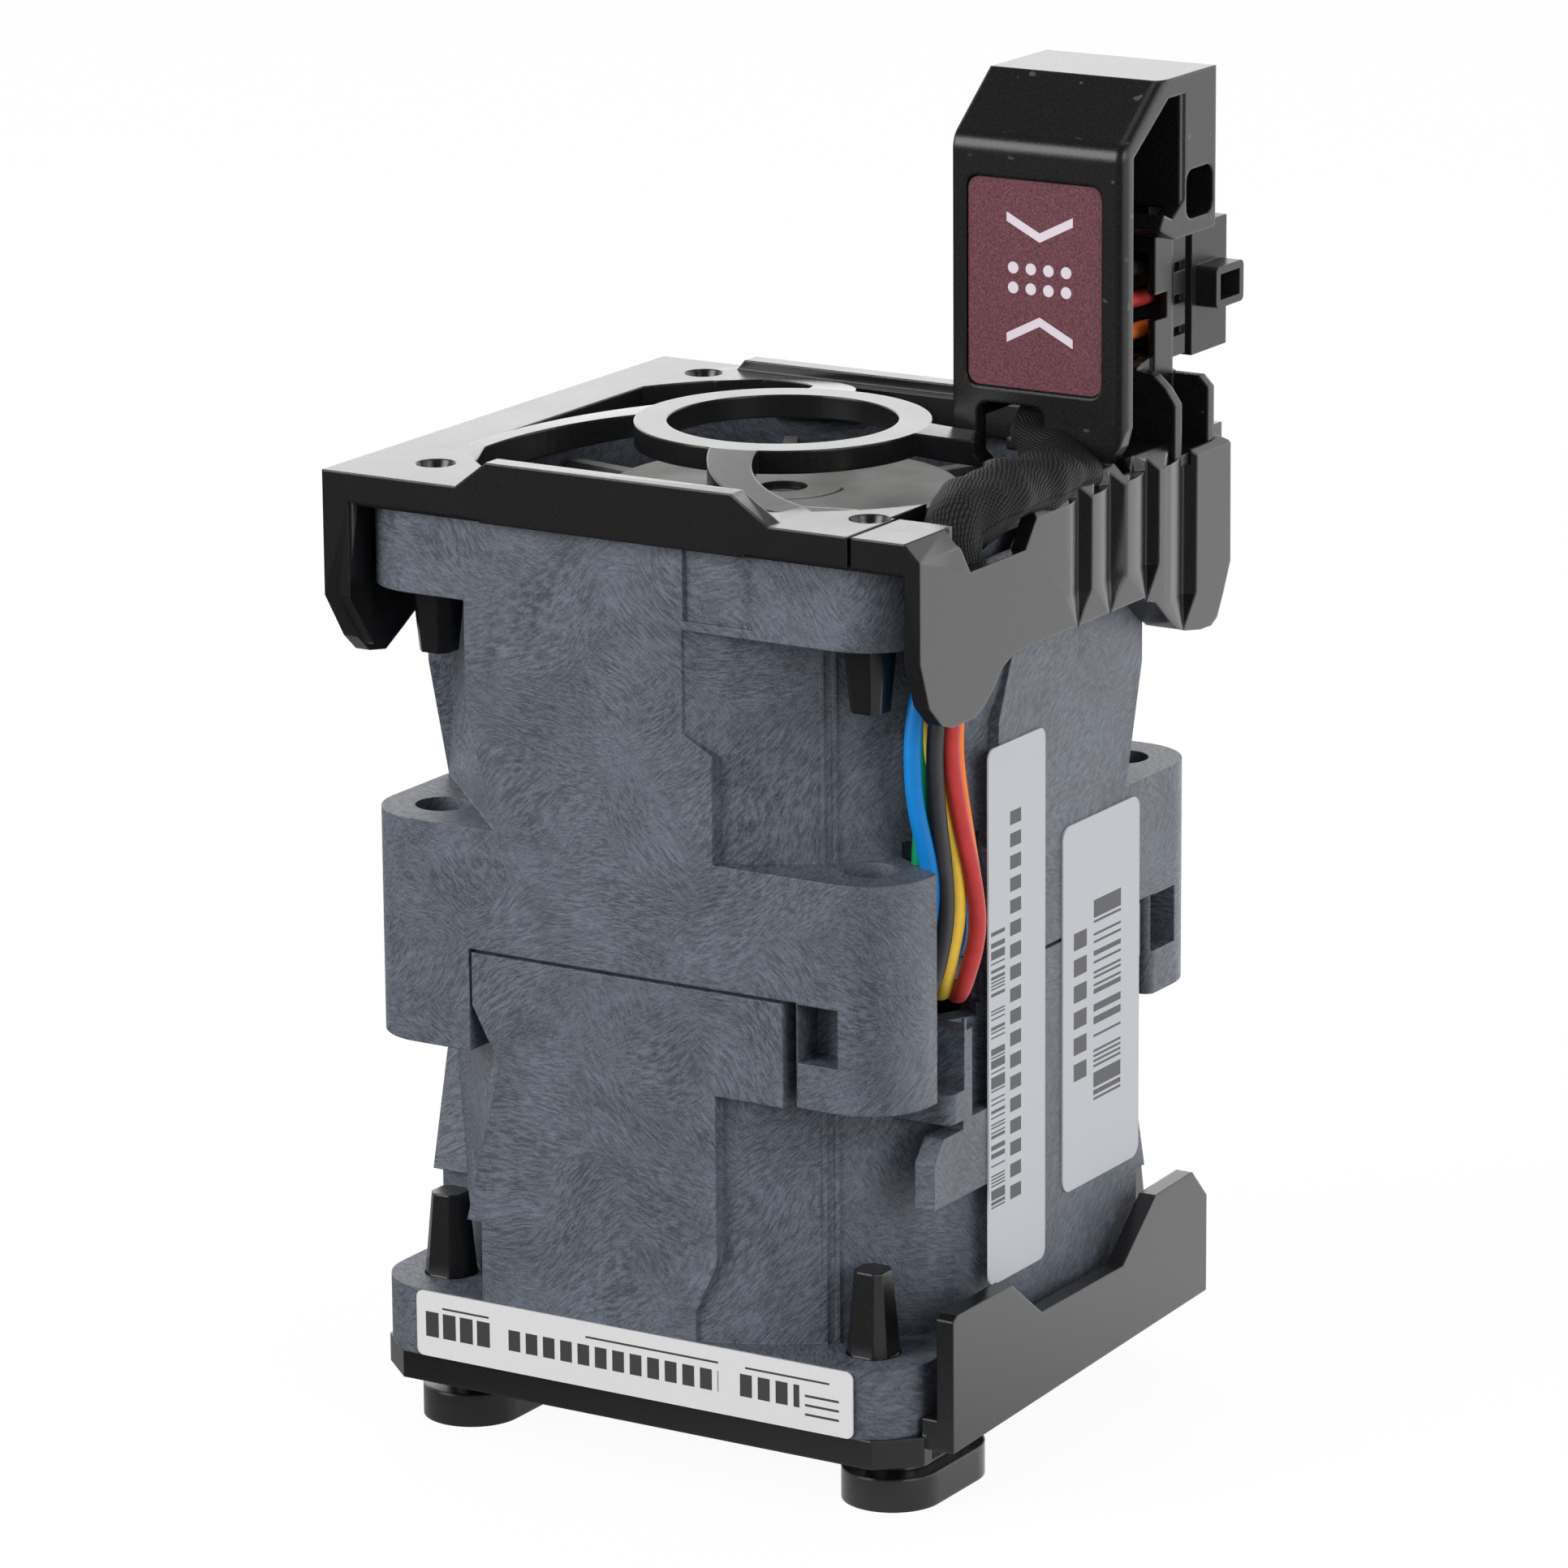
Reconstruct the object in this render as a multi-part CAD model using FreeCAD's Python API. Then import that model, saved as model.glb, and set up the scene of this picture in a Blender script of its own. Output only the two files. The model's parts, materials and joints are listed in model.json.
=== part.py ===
import FreeCAD, Part
import math
import os

# Plug-in fan module for a server: two fans back to back in one 40 x 40 x 56 mm housing, held in a
# plastic frame with a guard, a base plate, two rubber feet and an arm that carries the connector.
# Millimetres. Shapes are drawn with z = 0 at the lower flange's underside, and every node is moved
# down at the end so that the frame's origin is the middle flange's upper face.
# -Y is the front face with the long label, +X is the ribbed side, +Z is the air inlet.

Vector = FreeCAD.Vector
UP = Vector(0, 0, 1)

# Fan housings, a standard 40 x 40 x 56 mm counter-rotating fan
FAN_HALF = 20.0
FAN_HEIGHT = 56.0
# The frame, arm, connector and cable are drawn for this fan height and raised if the fan is higher
DRAWN_HEIGHT = 56.0
LIFT = FAN_HEIGHT - DRAWN_HEIGHT
SPLIT_Z = FAN_HEIGHT / 2
HOLE_PITCH = 32.0
HOLE_R = 1.75
FLANGE_LOW_TOP = 4.5
BAND_TOP = SPLIT_Z + 8.0
FLANGE_TOP_T = 5.2
FLANGE_TOP_BOTTOM = FAN_HEIGHT - FLANGE_TOP_T
CORNER_R = 4.2
BORE_R = FAN_HALF - 1.1
DUCT_R = FAN_HALF + 0.45
SEAM_ANGLE = -51.0
DUCT_CORNER = 9.3
PANEL_WIDE = 11.4
BOSS_BOTTOM = SPLIT_Z - 6.8
BOSS_EDGE_R = 0.7
BOSS_SIDE = 12.6
BOSS_EDGE = 11.5
WINDOW = (12.9, 15.9, SPLIT_Z - 3.9, SPLIT_Z - 0.1)
BAND_SLIT = 0.25
BASE_DISC_R = 10.6
BASE_DISC_T = 1.5
STRUT_T = 1.2
STRUT_DEPTH = 3.6
STRUT_ANGLES = (19, 79, 139, 199, 259)

# Wire channel at the front right corner
WIRE_R = 0.53
CHANNEL_ANGLE = -31.0
TROUGH_Z = 1.35

# Motor, measured outwards from the base disc
SHAFT_R = 1.0
BEARING_BORE_R = 1.04
BEARING_R = 2.5
SLEEVE_R = 3.2
MOTOR_TOP = FAN_HEIGHT / 2 - BASE_DISC_T - 0.5
HUB_R = 11.3
YOKE_R = 10.2
MAGNET_R = 9.7
BOARD_R = 9.4
BLADE_TIP_R = BORE_R - 0.55
UPPER_BLADES = 7
LOWER_BLADES = 5
STATOR_TEETH = 6
BLADE_STEPS = 5

# Inlet frame
PLATE_Z = DRAWN_HEIGHT + 2.34
PLATE_LEFT = -(FAN_HALF + 1.3)
PLATE_FRONT = -(FAN_HALF + 1.0)
PLATE_BACK = FAN_HALF - 0.6
WALL_OUT = FAN_HALF + 2.5
WALL_T = 1.1
EDGE_CHAMFER = 1.1
OPENING_R = 20.05
OPENING_HALF = 17.2
RING_IN = 7.45
RING_OUT = 9.55
RING_TOP = PLATE_Z + 1.56
RING_BOTTOM = DRAWN_HEIGHT + 0.1
LIP_TOP = PLATE_Z + 1.76
BACK_LIP_TOP = PLATE_Z + 0.71
LIP_T = 1.4
DIMPLE_R = 1.3

# Base plate and feet
BASE_T = 1.9
BASE_THIN = 0.9
BASE_RIGHT = FAN_HALF + 0.5
SKIRT_OUT = FAN_HALF + 2.5
SKIRT_T = 1.2
FOOT_R = 3.3
FOOT_FRONT_Y = -13.7
FOOT_REAR_Y = -8.6
FOOT_X = 16.0
FOOT_TOP = -3.6
FOOT_BOTTOM = -5.8

# Connector arm
ARM_LEFT = 9.6
ARM_RIGHT = 22.0
ARM_FRONT = 5.2
ARM_BACK = 17.2
ARM_WALL = 1.2
ARM_TOP = 82.0
ARM_BEND = 78.2
ARM_SLOPE_Y = 10.0
POCKET_Z = 71.6
ARM_LEG = 57.4
ARM_FOOT = 56.65
ARM_NOTCH = (11.3, 16.25, 61.35)

# Cable: the octagon of a wire is as large as a round wire, and the sleeve has twelve sides
WIRE_SIDES = 8
SLEEVE_SIDES = 12
SLEEVE_IN = 1.93
SLEEVE_OUT = 2.1
SLEEVE_ROOM = 2.16
SLEEVE_START = 54.0
SLEEVE_LEVEL = 59.15

LABEL_T = 0.12


def box(x0, x1, y0, y1, z0, z1):
    return Part.makeBox(x1 - x0, y1 - y0, z1 - z0, Vector(x0, y0, z0))


def cylinder(radius, z0, z1, x=0.0, y=0.0):
    return Part.makeCylinder(radius, z1 - z0, Vector(x, y, z0), UP)


def tube(inner, outer, z0, z1, x=0.0, y=0.0):
    return cylinder(outer, z0, z1, x, y).cut(cylinder(inner, z0 - 1, z1 + 1, x, y))


def cone(radius0, radius1, z0, z1, x=0.0, y=0.0):
    return Part.makeCone(radius0, radius1, z1 - z0, Vector(x, y, z0), UP)


def prism(points, direction):
    wire = Part.makePolygon(points + [points[0]])
    return Part.Face(wire).extrude(direction)


def prism_xy(points, z0, z1):
    return prism([Vector(x, y, z0) for x, y in points], Vector(0, 0, z1 - z0))


def prism_yz(points, x0, x1):
    return prism([Vector(x0, y, z) for y, z in points], Vector(x1 - x0, 0, 0))


def prism_xz(points, y0, y1):
    return prism([Vector(x, y0, z) for x, z in points], Vector(0, y1 - y0, 0))


def revolve(points):
    """Solid of revolution about Z from a closed outline of radius and height pairs."""
    wire = Part.makePolygon([Vector(r, 0, z) for r, z in points + [points[0]]])
    return Part.Face(wire).revolve(Vector(0, 0, 0), UP, 360)


def polyhedron(points, faces):
    """Solid with flat faces, each face listed by the numbers of its corner points."""
    sides = []
    for face in faces:
        corners = [points[i] for i in face]
        sides.append(Part.Face(Part.makePolygon(corners + [corners[0]])))
    solid = Part.Solid(Part.Shell(sides))
    solid.fix(1e-4, 1e-4, 1e-4)
    if solid.Volume < 0:
        solid.reverse()
    return solid


def rounded_block(x0, x1, y0, y1, z0, z1, radius):
    """Block whose four upright edges are rounded."""
    block = box(x0, x1, y0, y1, z0, z1)
    upright = [e for e in block.Edges if abs(e.tangentAt(e.FirstParameter).z) > 0.9]
    return block.makeFillet(radius, upright)


def fuse(shapes):
    result = shapes[0]
    if len(shapes) > 1:
        result = result.fuse(shapes[1:])
    return result.removeSplitter()


def cut(shape, tools):
    return shape.cut(tools)


def turned(shape, degrees):
    copy = shape.copy()
    copy.rotate(Vector(0, 0, 0), UP, degrees)
    return copy


def flipped(shape):
    """Mirror image about the plane where the two fans meet."""
    return shape.mirror(Vector(0, 0, SPLIT_Z), UP)


def swapped(shape):
    """Mirror image that swaps x and y."""
    return shape.mirror(Vector(0, 0, 0), Vector(1, -1, 0))


def across_corner(shape):
    """Mirror image about the plane through the front right and back left corners."""
    return shape.mirror(Vector(0, 0, 0), Vector(1, 1, 0))


def corner_holes(z0, z1, radius=HOLE_R):
    half = HOLE_PITCH / 2
    return [cylinder(radius, z0, z1, sx * half, sy * half) for sx in (-1, 1) for sy in (-1, 1)]


def duct_outline(z0, z1):
    """Square duct with three 45 degree corners and a round front right corner."""
    half = FAN_HALF
    corner = DUCT_CORNER
    start = math.sqrt(DUCT_R ** 2 - half ** 2)
    diagonal = DUCT_R / math.sqrt(2)
    arc = Part.Arc(Vector(start, -half, z0), Vector(diagonal, -diagonal, z0), Vector(half, -start, z0))
    points = [(half, -start), (half, corner), (corner, half), (-corner, half), (-half, corner),
              (-half, -corner), (-corner, -half), (start, -half)]
    edges = [arc.toShape()]
    for (xa, ya), (xb, yb) in zip(points, points[1:]):
        edges.append(Part.makeLine(Vector(xa, ya, z0), Vector(xb, yb, z0)))
    return Part.Face(Part.Wire(edges)).extrude(Vector(0, 0, z1 - z0))


def panel_wedge(z_thin, z_wide, z_end, wide):
    """Pair of panel edges at the front left corner that grow from z_thin to z_wide, then run to z_end."""
    half = FAN_HALF
    corner = DUCT_CORNER
    depth = corner + half - wide
    triangle = [(-corner, -half), (-wide, -half), (-wide, -depth)]
    points = [Vector(-corner, -half, z_thin)] + [Vector(x, y, z_wide) for x, y in triangle]
    slope = polyhedron(points, [(0, 1, 2), (0, 2, 3), (0, 3, 1), (1, 3, 2)])
    straight = prism_xy(triangle, min(z_wide, z_end), max(z_wide, z_end))
    front = [slope, straight]
    return front + [swapped(s) for s in front]


def panel_end(outline, z_top):
    """End of a flat panel beside the round corner, from pairs of width and height."""
    points = [(3.5, outline[0][1])] + outline + [(3.5, z_top)]
    return prism_xz(points, -FAN_HALF, -BORE_R - 0.05)


def seam_ribs(z0, z1):
    """Two fine upright ribs on the round corner."""
    ribs = [box(DUCT_R - 0.5, DUCT_R + 0.12, y - 0.15, y + 0.15, z0, z1) for y in (-0.4, 0.4)]
    return [turned(rib, SEAM_ANGLE) for rib in ribs]


def at_cut_corners(shapes):
    """Copies at the front left, back right and back left corners."""
    return [turned(s, angle) for angle in (0, 180, -90) for s in shapes]


def along_channel(shape):
    return turned(shape, CHANNEL_ANGLE)


def motor_base():
    """Base disc, sleeve seat and struts of the upper fan; the lower one is its mirror image."""
    z0 = SPLIT_Z
    disc = cylinder(BASE_DISC_R, z0, z0 + BASE_DISC_T)
    struts = []
    for angle in STRUT_ANGLES:
        strut = box(BASE_DISC_R - 1, BORE_R + 0.6, -STRUT_T / 2, STRUT_T / 2, z0, z0 + STRUT_DEPTH)
        struts.append(turned(strut, angle))
    trough = along_channel(box(BASE_DISC_R - 1, BORE_R + 1.2, -3.2, 3.4, z0, z0 + TROUGH_Z + 0.35))
    groove = along_channel(box(BASE_DISC_R - 0.5, BORE_R + 4, -2.4, 2.9, z0 + 0.7, z0 + 3))
    return fuse([disc] + struts + [trough]), groove


def upper_fan_housing():
    half = FAN_HALF
    duct = duct_outline(BAND_TOP, FLANGE_TOP_BOTTOM)
    wedges = at_cut_corners(panel_wedge(BAND_TOP, BAND_TOP + 8, FLANGE_TOP_BOTTOM, PANEL_WIDE))
    front_end = panel_end([(6.9, BAND_TOP), (6.9, BAND_TOP + 7), (4.8, BAND_TOP + 8.2), (4.8, FLANGE_TOP_BOTTOM)],
                          FLANGE_TOP_BOTTOM)
    side_end = panel_end([(7.1, BAND_TOP), (7.1, BAND_TOP + 8), (5.4, BAND_TOP + 12), (5.4, FLANGE_TOP_BOTTOM)],
                         FLANGE_TOP_BOTTOM)
    wedges += [front_end, across_corner(side_end)] + seam_ribs(BAND_TOP, FLANGE_TOP_BOTTOM)
    flange = rounded_block(-half, half, -half, half, FLANGE_TOP_BOTTOM, FAN_HEIGHT, CORNER_R)
    band = rounded_block(-half, half, -half, half, SPLIT_Z, BAND_TOP, CORNER_R)
    keep_clear = duct_outline(BOSS_BOTTOM - 1, SPLIT_Z)
    bosses = []
    windows = []
    for angle in (0, 90, 180, 270):
        boss = rounded_block(BOSS_SIDE, half + 6, -half, -half + 14, BOSS_BOTTOM, SPLIT_Z, BOSS_EDGE_R)
        boss = boss.common(box(BOSS_SIDE, half, -half, -BOSS_EDGE, 0, FAN_HEIGHT))
        corner = rounded_block(-half, half, -half, half, BOSS_BOTTOM, SPLIT_Z, CORNER_R)
        bosses.append(turned(boss.common(corner), angle))
        x0, x1, z0, z1 = WINDOW
        windows.append(turned(box(x0, x1, -half - 1, -half + 2.6, z0, z1), angle))
    base, groove = motor_base()
    body = fuse([duct, flange, band] + wedges)
    bore = cylinder(BORE_R, SPLIT_Z - 1, FAN_HEIGHT + 1)
    body = cut(body, [bore])
    bosses = [cut(b, [keep_clear]) for b in bosses]
    body = fuse([body, base] + bosses)
    tools = corner_holes(BOSS_BOTTOM - 1, BAND_TOP + 1)
    tools += corner_holes(FLANGE_TOP_BOTTOM - 1, FAN_HEIGHT + 1)
    tools += windows + [groove, cylinder(SLEEVE_R, SPLIT_Z - 1, SPLIT_Z + BASE_DISC_T + 1)]
    tools.append(box(TRUNK[0] - SLEEVE_ROOM, half + 1, TRUNK[1] - SLEEVE_ROOM, TRUNK[1] + 2.35, FLANGE_TOP_BOTTOM - 1,
                     FAN_HEIGHT + 1))
    tools.append(along_channel(box(BORE_R + 0.7, 30, -2.4, 3.2, BOSS_BOTTOM - 1, BAND_TOP + 1)))
    tools.append(box(4.9, 9.9, -half - 1, -half + 0.3, FLANGE_TOP_BOTTOM + 0.6, FAN_HEIGHT + 1))
    return cut(body, tools).removeSplitter()


def lower_fan_housing():
    half = FAN_HALF
    duct = duct_outline(FLANGE_LOW_TOP, SPLIT_Z)
    waist = SPLIT_Z - 7.4
    low = FLANGE_LOW_TOP + 5.3
    long_wedge = panel_wedge(waist, low, low - 0.001, 12.0)[0::2]
    low_wedge = panel_wedge(FLANGE_LOW_TOP - 1.5, FLANGE_LOW_TOP, low, 10.9)[1::2]
    top_wedge = panel_wedge(waist, SPLIT_Z - 3.7, SPLIT_Z, BOSS_EDGE - 0.2)
    flange = rounded_block(-half, half, -half, half, 0, FLANGE_LOW_TOP, CORNER_R)
    panels = [box(3.5, 11.9, -half, -half + 2.2, waist + 0.4, SPLIT_Z)]
    lower_end = [(5.3, FLANGE_LOW_TOP), (5.3, low - 3.4), (6.9, low), (6.9, waist + 0.4)]
    panels.append(panel_end(lower_end, waist + 0.4))
    panels += seam_ribs(FLANGE_LOW_TOP, waist)
    step = SPLIT_Z - 8.8
    block = rounded_block(15.0, half, -13.2, -9.9, step, SPLIT_Z - 0.9, 0.8)
    block = cut(block, [box(14.0, half + 1, -half, -BOSS_EDGE + 0.05, BOSS_BOTTOM - 0.05, SPLIT_Z)])
    tab = prism_yz([(-15.2, step - 5), (-15.2, step - 2), (-14.0, step - 0.6), (-11.6, step - 0.6), (-11.6, step),
                    (-5.0, step), (-5.0, step - 5)], half - 1.4, half)
    base, groove = motor_base()
    body = fuse([duct, flange, tab, block] + panels + at_cut_corners(long_wedge + low_wedge + top_wedge))
    body = cut(body, [cylinder(BORE_R, -1, SPLIT_Z + 1)])
    body = fuse([body, flipped(base)])
    tools = corner_holes(-1, FLANGE_LOW_TOP + 1)
    tools += [flipped(groove), cylinder(SLEEVE_R, SPLIT_Z - BASE_DISC_T - 1, SPLIT_Z + 1)]
    tools.append(along_channel(box(BORE_R + 0.7, 30, -2.4, 3.2, SPLIT_Z - 2.2, SPLIT_Z + 1)))
    deep = half - 0.6
    slit = box(-half - 1, half + 1, -half - 1, half + 1, SPLIT_Z - BAND_SLIT, SPLIT_Z + 1)
    tools.append(slit.cut(box(-deep, deep, -deep, deep, 0, FAN_HEIGHT)))
    return cut(body, tools).removeSplitter()


def tapered_pin(z_root, z_hole, z_tip, side0, side1):
    """Frame pin: round where it fills the flange hole, square and tapered beyond it."""
    root = cylinder(HOLE_R - 0.1, min(z_root, z_hole), max(z_root, z_hole))
    sections = []
    for z, side in ((z_hole, side0), (z_tip, side1)):
        s = side / 2
        c = s * 0.55
        ring = [(s, c), (c, s), (-c, s), (-s, c), (-s, -c), (-c, -s), (c, -s), (s, -c)]
        points = [Vector(x, y, z) for x, y in ring]
        sections.append(Part.makePolygon(points + [points[0]]))
    taper = Part.makeLoft(sections, True, True)
    return fuse([root, taper])


def at_holes(shape):
    half = HOLE_PITCH / 2
    copies = []
    for sx in (-1, 1):
        for sy in (-1, 1):
            copy = shape.copy()
            copy.translate(Vector(sx * half, sy * half, 0))
            copies.append(copy)
    return copies


def guard(z_low, z_plate, z_ring):
    """Ring and four curved arms that fill the round opening, domed from z_plate to z_ring."""
    outer = [(0.2, -9.0), (2.7, -13.2), (10.9, -17.6)]
    inner = [(3.4, -8.4), (5.6, -12.6), (11.0, -15.6)]
    edges = [Part.Arc(*[Vector(x, y, z_low) for x, y in outer]).toShape()]
    tips = [outer[2], (12.4, -18.0), (15.6, -14.4), (14.0, -14.2), inner[2]]
    for (xa, ya), (xb, yb) in zip(tips, tips[1:]):
        edges.append(Part.makeLine(Vector(xa, ya, z_low), Vector(xb, yb, z_low)))
    edges.append(Part.Arc(*[Vector(x, y, z_low) for x, y in reversed(inner)]).toShape())
    edges.append(Part.makeLine(Vector(*inner[0], z_low), Vector(*outer[0], z_low)))
    height = z_ring - z_low
    arm = Part.Face(Part.Wire(edges)).extrude(Vector(0, 0, height))
    arms = [turned(arm, angle) for angle in (0, 90, 180, 270)]
    dome = revolve([(0, z_low), (0, z_ring), (RING_OUT, z_ring), (OPENING_R, z_plate), (24, z_plate),
                    (24, z_low)])
    ring = cylinder(RING_OUT, z_low, z_ring)
    return fuse(arms + [ring]).common(dome).cut(cylinder(RING_IN, z_low - 1, z_ring + 1))


def side_rib_cut(y_bottom, y_left, y_right, z_tip):
    """V groove in the right wall: a straight cut that runs out to a point at its lower end."""
    x_out = WALL_OUT + 0.01
    x_in = WALL_OUT - 1.15
    top = PLATE_Z + 2
    z_run = z_tip + 2.2
    points = [Vector(x_out, y_left, top), Vector(x_in, y_bottom, top), Vector(x_out, y_right, top),
              Vector(x_out, y_left, z_run), Vector(x_in, y_bottom, z_run), Vector(x_out, y_right, z_run),
              Vector(x_out, y_bottom, z_tip)]
    return polyhedron(points, [(0, 1, 2), (0, 3, 4, 1), (1, 4, 5, 2), (0, 2, 5, 3), (3, 6, 4), (4, 6, 5),
                               (3, 5, 6)])


def frame_right_wall():
    front = [(PLATE_FRONT, PLATE_Z), (PLATE_FRONT, 51.0), (-19.9, 48.0), (-18.4, 46.6), (-17.2, 46.2), (-14.4, 46.2),
             (-13.2, 46.7), (-12.2, 47.4), (-10.9, 48.7), (-9.6, 49.2), (-8.6, 49.3)]
    back = [(7.4, 49.3), (8.6, 48.7), (10.6, 47.0), (11.6, 46.3), (12.6, 46.0), (14.6, 45.65), (16.1, 45.6),
            (16.9, 46.0), (17.7, 47.4)]
    wall = prism_yz(front + back + [(18.67, 49.4), (18.6, 57.4), (16.9, PLATE_Z)],
                    WALL_OUT - WALL_T, WALL_OUT)
    thick = prism_yz([(-3.2, PLATE_Z), (-3.2, 49.3)] + back + [(17.7, 57.8), (16.9, PLATE_Z)],
                     FAN_HALF + 0.15, WALL_OUT)
    wall = fuse([wall, thick])
    notch = prism_yz([(-16.4, PLATE_Z + 1), (-16.2, 57.4), (-14.9, 55.5), (-8.1, 55.5), (-6.6, 57.4),
                      (-6.4, PLATE_Z + 1)], WALL_OUT - WALL_T - 0.2, WALL_OUT + 1)
    chamfer = prism_xz([(WALL_OUT - EDGE_CHAMFER, PLATE_Z), (WALL_OUT, PLATE_Z - EDGE_CHAMFER),
                        (WALL_OUT + 1, PLATE_Z - EDGE_CHAMFER), (WALL_OUT + 1, PLATE_Z + 1),
                        (WALL_OUT - EDGE_CHAMFER, PLATE_Z + 1)], PLATE_FRONT - 1, PLATE_BACK + 1)
    grooves = [side_rib_cut(-1.35, -2.6, -0.1, 49.1), side_rib_cut(2.7, 0.4, 4.4, 49.1),
               side_rib_cut(7.6, 5.0, 9.1, 48.9), side_rib_cut(12.6, 9.7, 14.2, 46.0)]
    return cut(wall, [notch, chamfer] + grooves)


def frame_left_wall():
    outline = [(PLATE_FRONT, PLATE_Z), (PLATE_FRONT, 50.2), (-19.0, 47.15), (-17.7, 46.0), (-15.9, 45.7),
               (-13.8, 46.8), (-12.0, 47.8), (-10.6, 49.3), (11.0, 49.3), (13.0, 47.2), (14.4, 46.5), (16.6, 46.5),
               (18.0, 48.0), (18.6, 50.5), (18.6, PLATE_Z)]
    wall = prism_yz(outline, PLATE_LEFT, PLATE_LEFT + WALL_T)
    post = prism_yz([(PLATE_FRONT, PLATE_Z), (PLATE_FRONT, 50.2), (-18.4, 46.62), (-18.4, PLATE_Z)],
                    PLATE_LEFT, -19.4)
    ribs = [box(PLATE_LEFT, PLATE_LEFT + 1.25, y, y + 0.8, 49.3, PLATE_Z) for y in (-9.0, -3.0, 3.0, 9.0)]
    return fuse([wall, post] + ribs)


def end_frame():
    x_right = WALL_OUT - EDGE_CHAMFER
    plate = box(PLATE_LEFT, x_right, PLATE_FRONT, PLATE_BACK, DRAWN_HEIGHT, PLATE_Z)
    opening = cylinder(OPENING_R, DRAWN_HEIGHT - 1, PLATE_Z + 1).common(
        box(-OPENING_HALF, OPENING_HALF, -OPENING_HALF, OPENING_HALF, 0, 90))
    lip = prism_xz([(-11.2, PLATE_Z - 0.5), (-11.2, PLATE_Z), (-8.9, LIP_TOP), (9.1, LIP_TOP), (11.8, PLATE_Z),
                    (11.8, PLATE_Z - 0.5)], PLATE_FRONT, PLATE_FRONT + LIP_T)
    back_lip = prism_xz([(-14.6, PLATE_Z - 0.5), (-14.6, PLATE_Z), (-14.0, BACK_LIP_TOP), (8.2, BACK_LIP_TOP),
                         (9.0, PLATE_Z), (9.0, PLATE_Z - 0.5)], PLATE_BACK - LIP_T, PLATE_BACK)
    front_apron = box(-9.4, 10.0, PLATE_FRONT, -FAN_HALF, DRAWN_HEIGHT + 0.2, DRAWN_HEIGHT + 0.5)
    front_step = box(-19.4, x_right + 1, PLATE_FRONT - 1, -FAN_HALF, DRAWN_HEIGHT - 1, DRAWN_HEIGHT + 0.4)
    plate = cut(plate, [opening, front_step])
    trough = box(16.95, WALL_OUT - WALL_T, -15.2, 4.6, DRAWN_HEIGHT - 1, PLATE_Z + 1)
    slit = box(17.35, 17.65, PLATE_FRONT - 1, -15.0, DRAWN_HEIGHT - 1, PLATE_Z + 1)
    body = fuse([plate, guard(RING_BOTTOM, PLATE_Z, RING_TOP), lip, back_lip, front_apron, frame_right_wall(),
                 frame_left_wall()])
    dimples = [cone(DIMPLE_R * 0.7, DIMPLE_R, PLATE_Z - 0.9, PLATE_Z + 0.001, sx * 16, sy * 16)
               for sx in (-1, 1) for sy in (-1, 1)]
    leg_y = (ARM_FRONT - 0.1, ARM_FRONT + ARM_WALL + 0.1)
    arm_seat = [box(ARM_LEFT - 0.1, ARM_NOTCH[0] + 0.1, *leg_y, ARM_LEG, ARM_TOP),
                box(ARM_NOTCH[1] - 0.1, ARM_RIGHT + 0.05, *leg_y, ARM_LEG, ARM_TOP),
                box(ARM_LEFT - 0.1, ARM_RIGHT + 0.05, ARM_BACK - 5.3, ARM_BACK + 0.05, ARM_FOOT, ARM_TOP)]
    sleeve_room = swept(route(SLEEVE_PATH, SLEEVE_BENDS), SLEEVE_ROOM, SLEEVE_SIDES)
    body = cut(body, [trough, slit, sleeve_room] + dimples + arm_seat)
    hole_end = DRAWN_HEIGHT - FLANGE_TOP_T
    pins = at_holes(tapered_pin(DRAWN_HEIGHT, hole_end, hole_end - 4.6, 3.0, 2.2))
    return fuse([body] + pins)


def base_plate():
    half = FAN_HALF
    corner = half - 2.6
    corners = [(-corner, 0.3 - half), (corner + 0.6, 0.3 - half), (BASE_RIGHT, -corner), (BASE_RIGHT, 16.0),
               (half - 0.5, half - 1), (corner, half), (-corner, half), (-half, corner), (-half, -corner)]
    plate = prism_xy(corners, -BASE_T, 0)
    plate = cut(plate, [box(corner + 0.6, half + 2, -corner + 0.9, half + 1, -BASE_T - 1, -BASE_THIN)])
    skirt = prism_yz([(-17.2, -0.8), (-17.2, 7.9), (-16.7, 8.2), (-9.8, 8.2), (-6.0, 5.3), (4.6, 5.3), (9.0, 8.9),
                      (14.0, 9.1), (16.0, 7.0), (16.0, 0.4)], SKIRT_OUT - SKIRT_T, SKIRT_OUT)
    web = prism_yz([(-17.2, -0.8), (-17.2, 1.2), (16.0, 1.6), (16.0, 0.4)], FAN_HALF + 0.2, SKIRT_OUT)
    opening = cylinder(OPENING_R - 0.9, -BASE_T - 1, 1).common(box(-18, 18, -18, 18, -9, 9))
    plate = cut(plate, [opening])
    grille = guard(-BASE_T, 0.0, 0.0)
    body = fuse([plate, skirt, web, grille])
    pads = [obround(sx * FOOT_X, FOOT_FRONT_Y, FOOT_REAR_Y, FOOT_R, -BASE_T, 0) for sx in (-1, 1)]
    body = fuse([body] + pads)
    seats = [cylinder(1.6, -BASE_T - 1, 1, sx * FOOT_X, FOOT_FRONT_Y + 1.2) for sx in (-1, 1)]
    pins = at_holes(tapered_pin(0, FLANGE_LOW_TOP, FLANGE_LOW_TOP + 5.5, 3.0, 2.1))
    body = cut(body, seats)
    return fuse([body] + pins)


def obround(x, y0, y1, radius, z0, z1):
    middle = box(x - radius, x + radius, y0, y1, z0, z1)
    return fuse([middle, cylinder(radius, z0, z1, x, y0), cylinder(radius, z0, z1, x, y1)])


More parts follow.
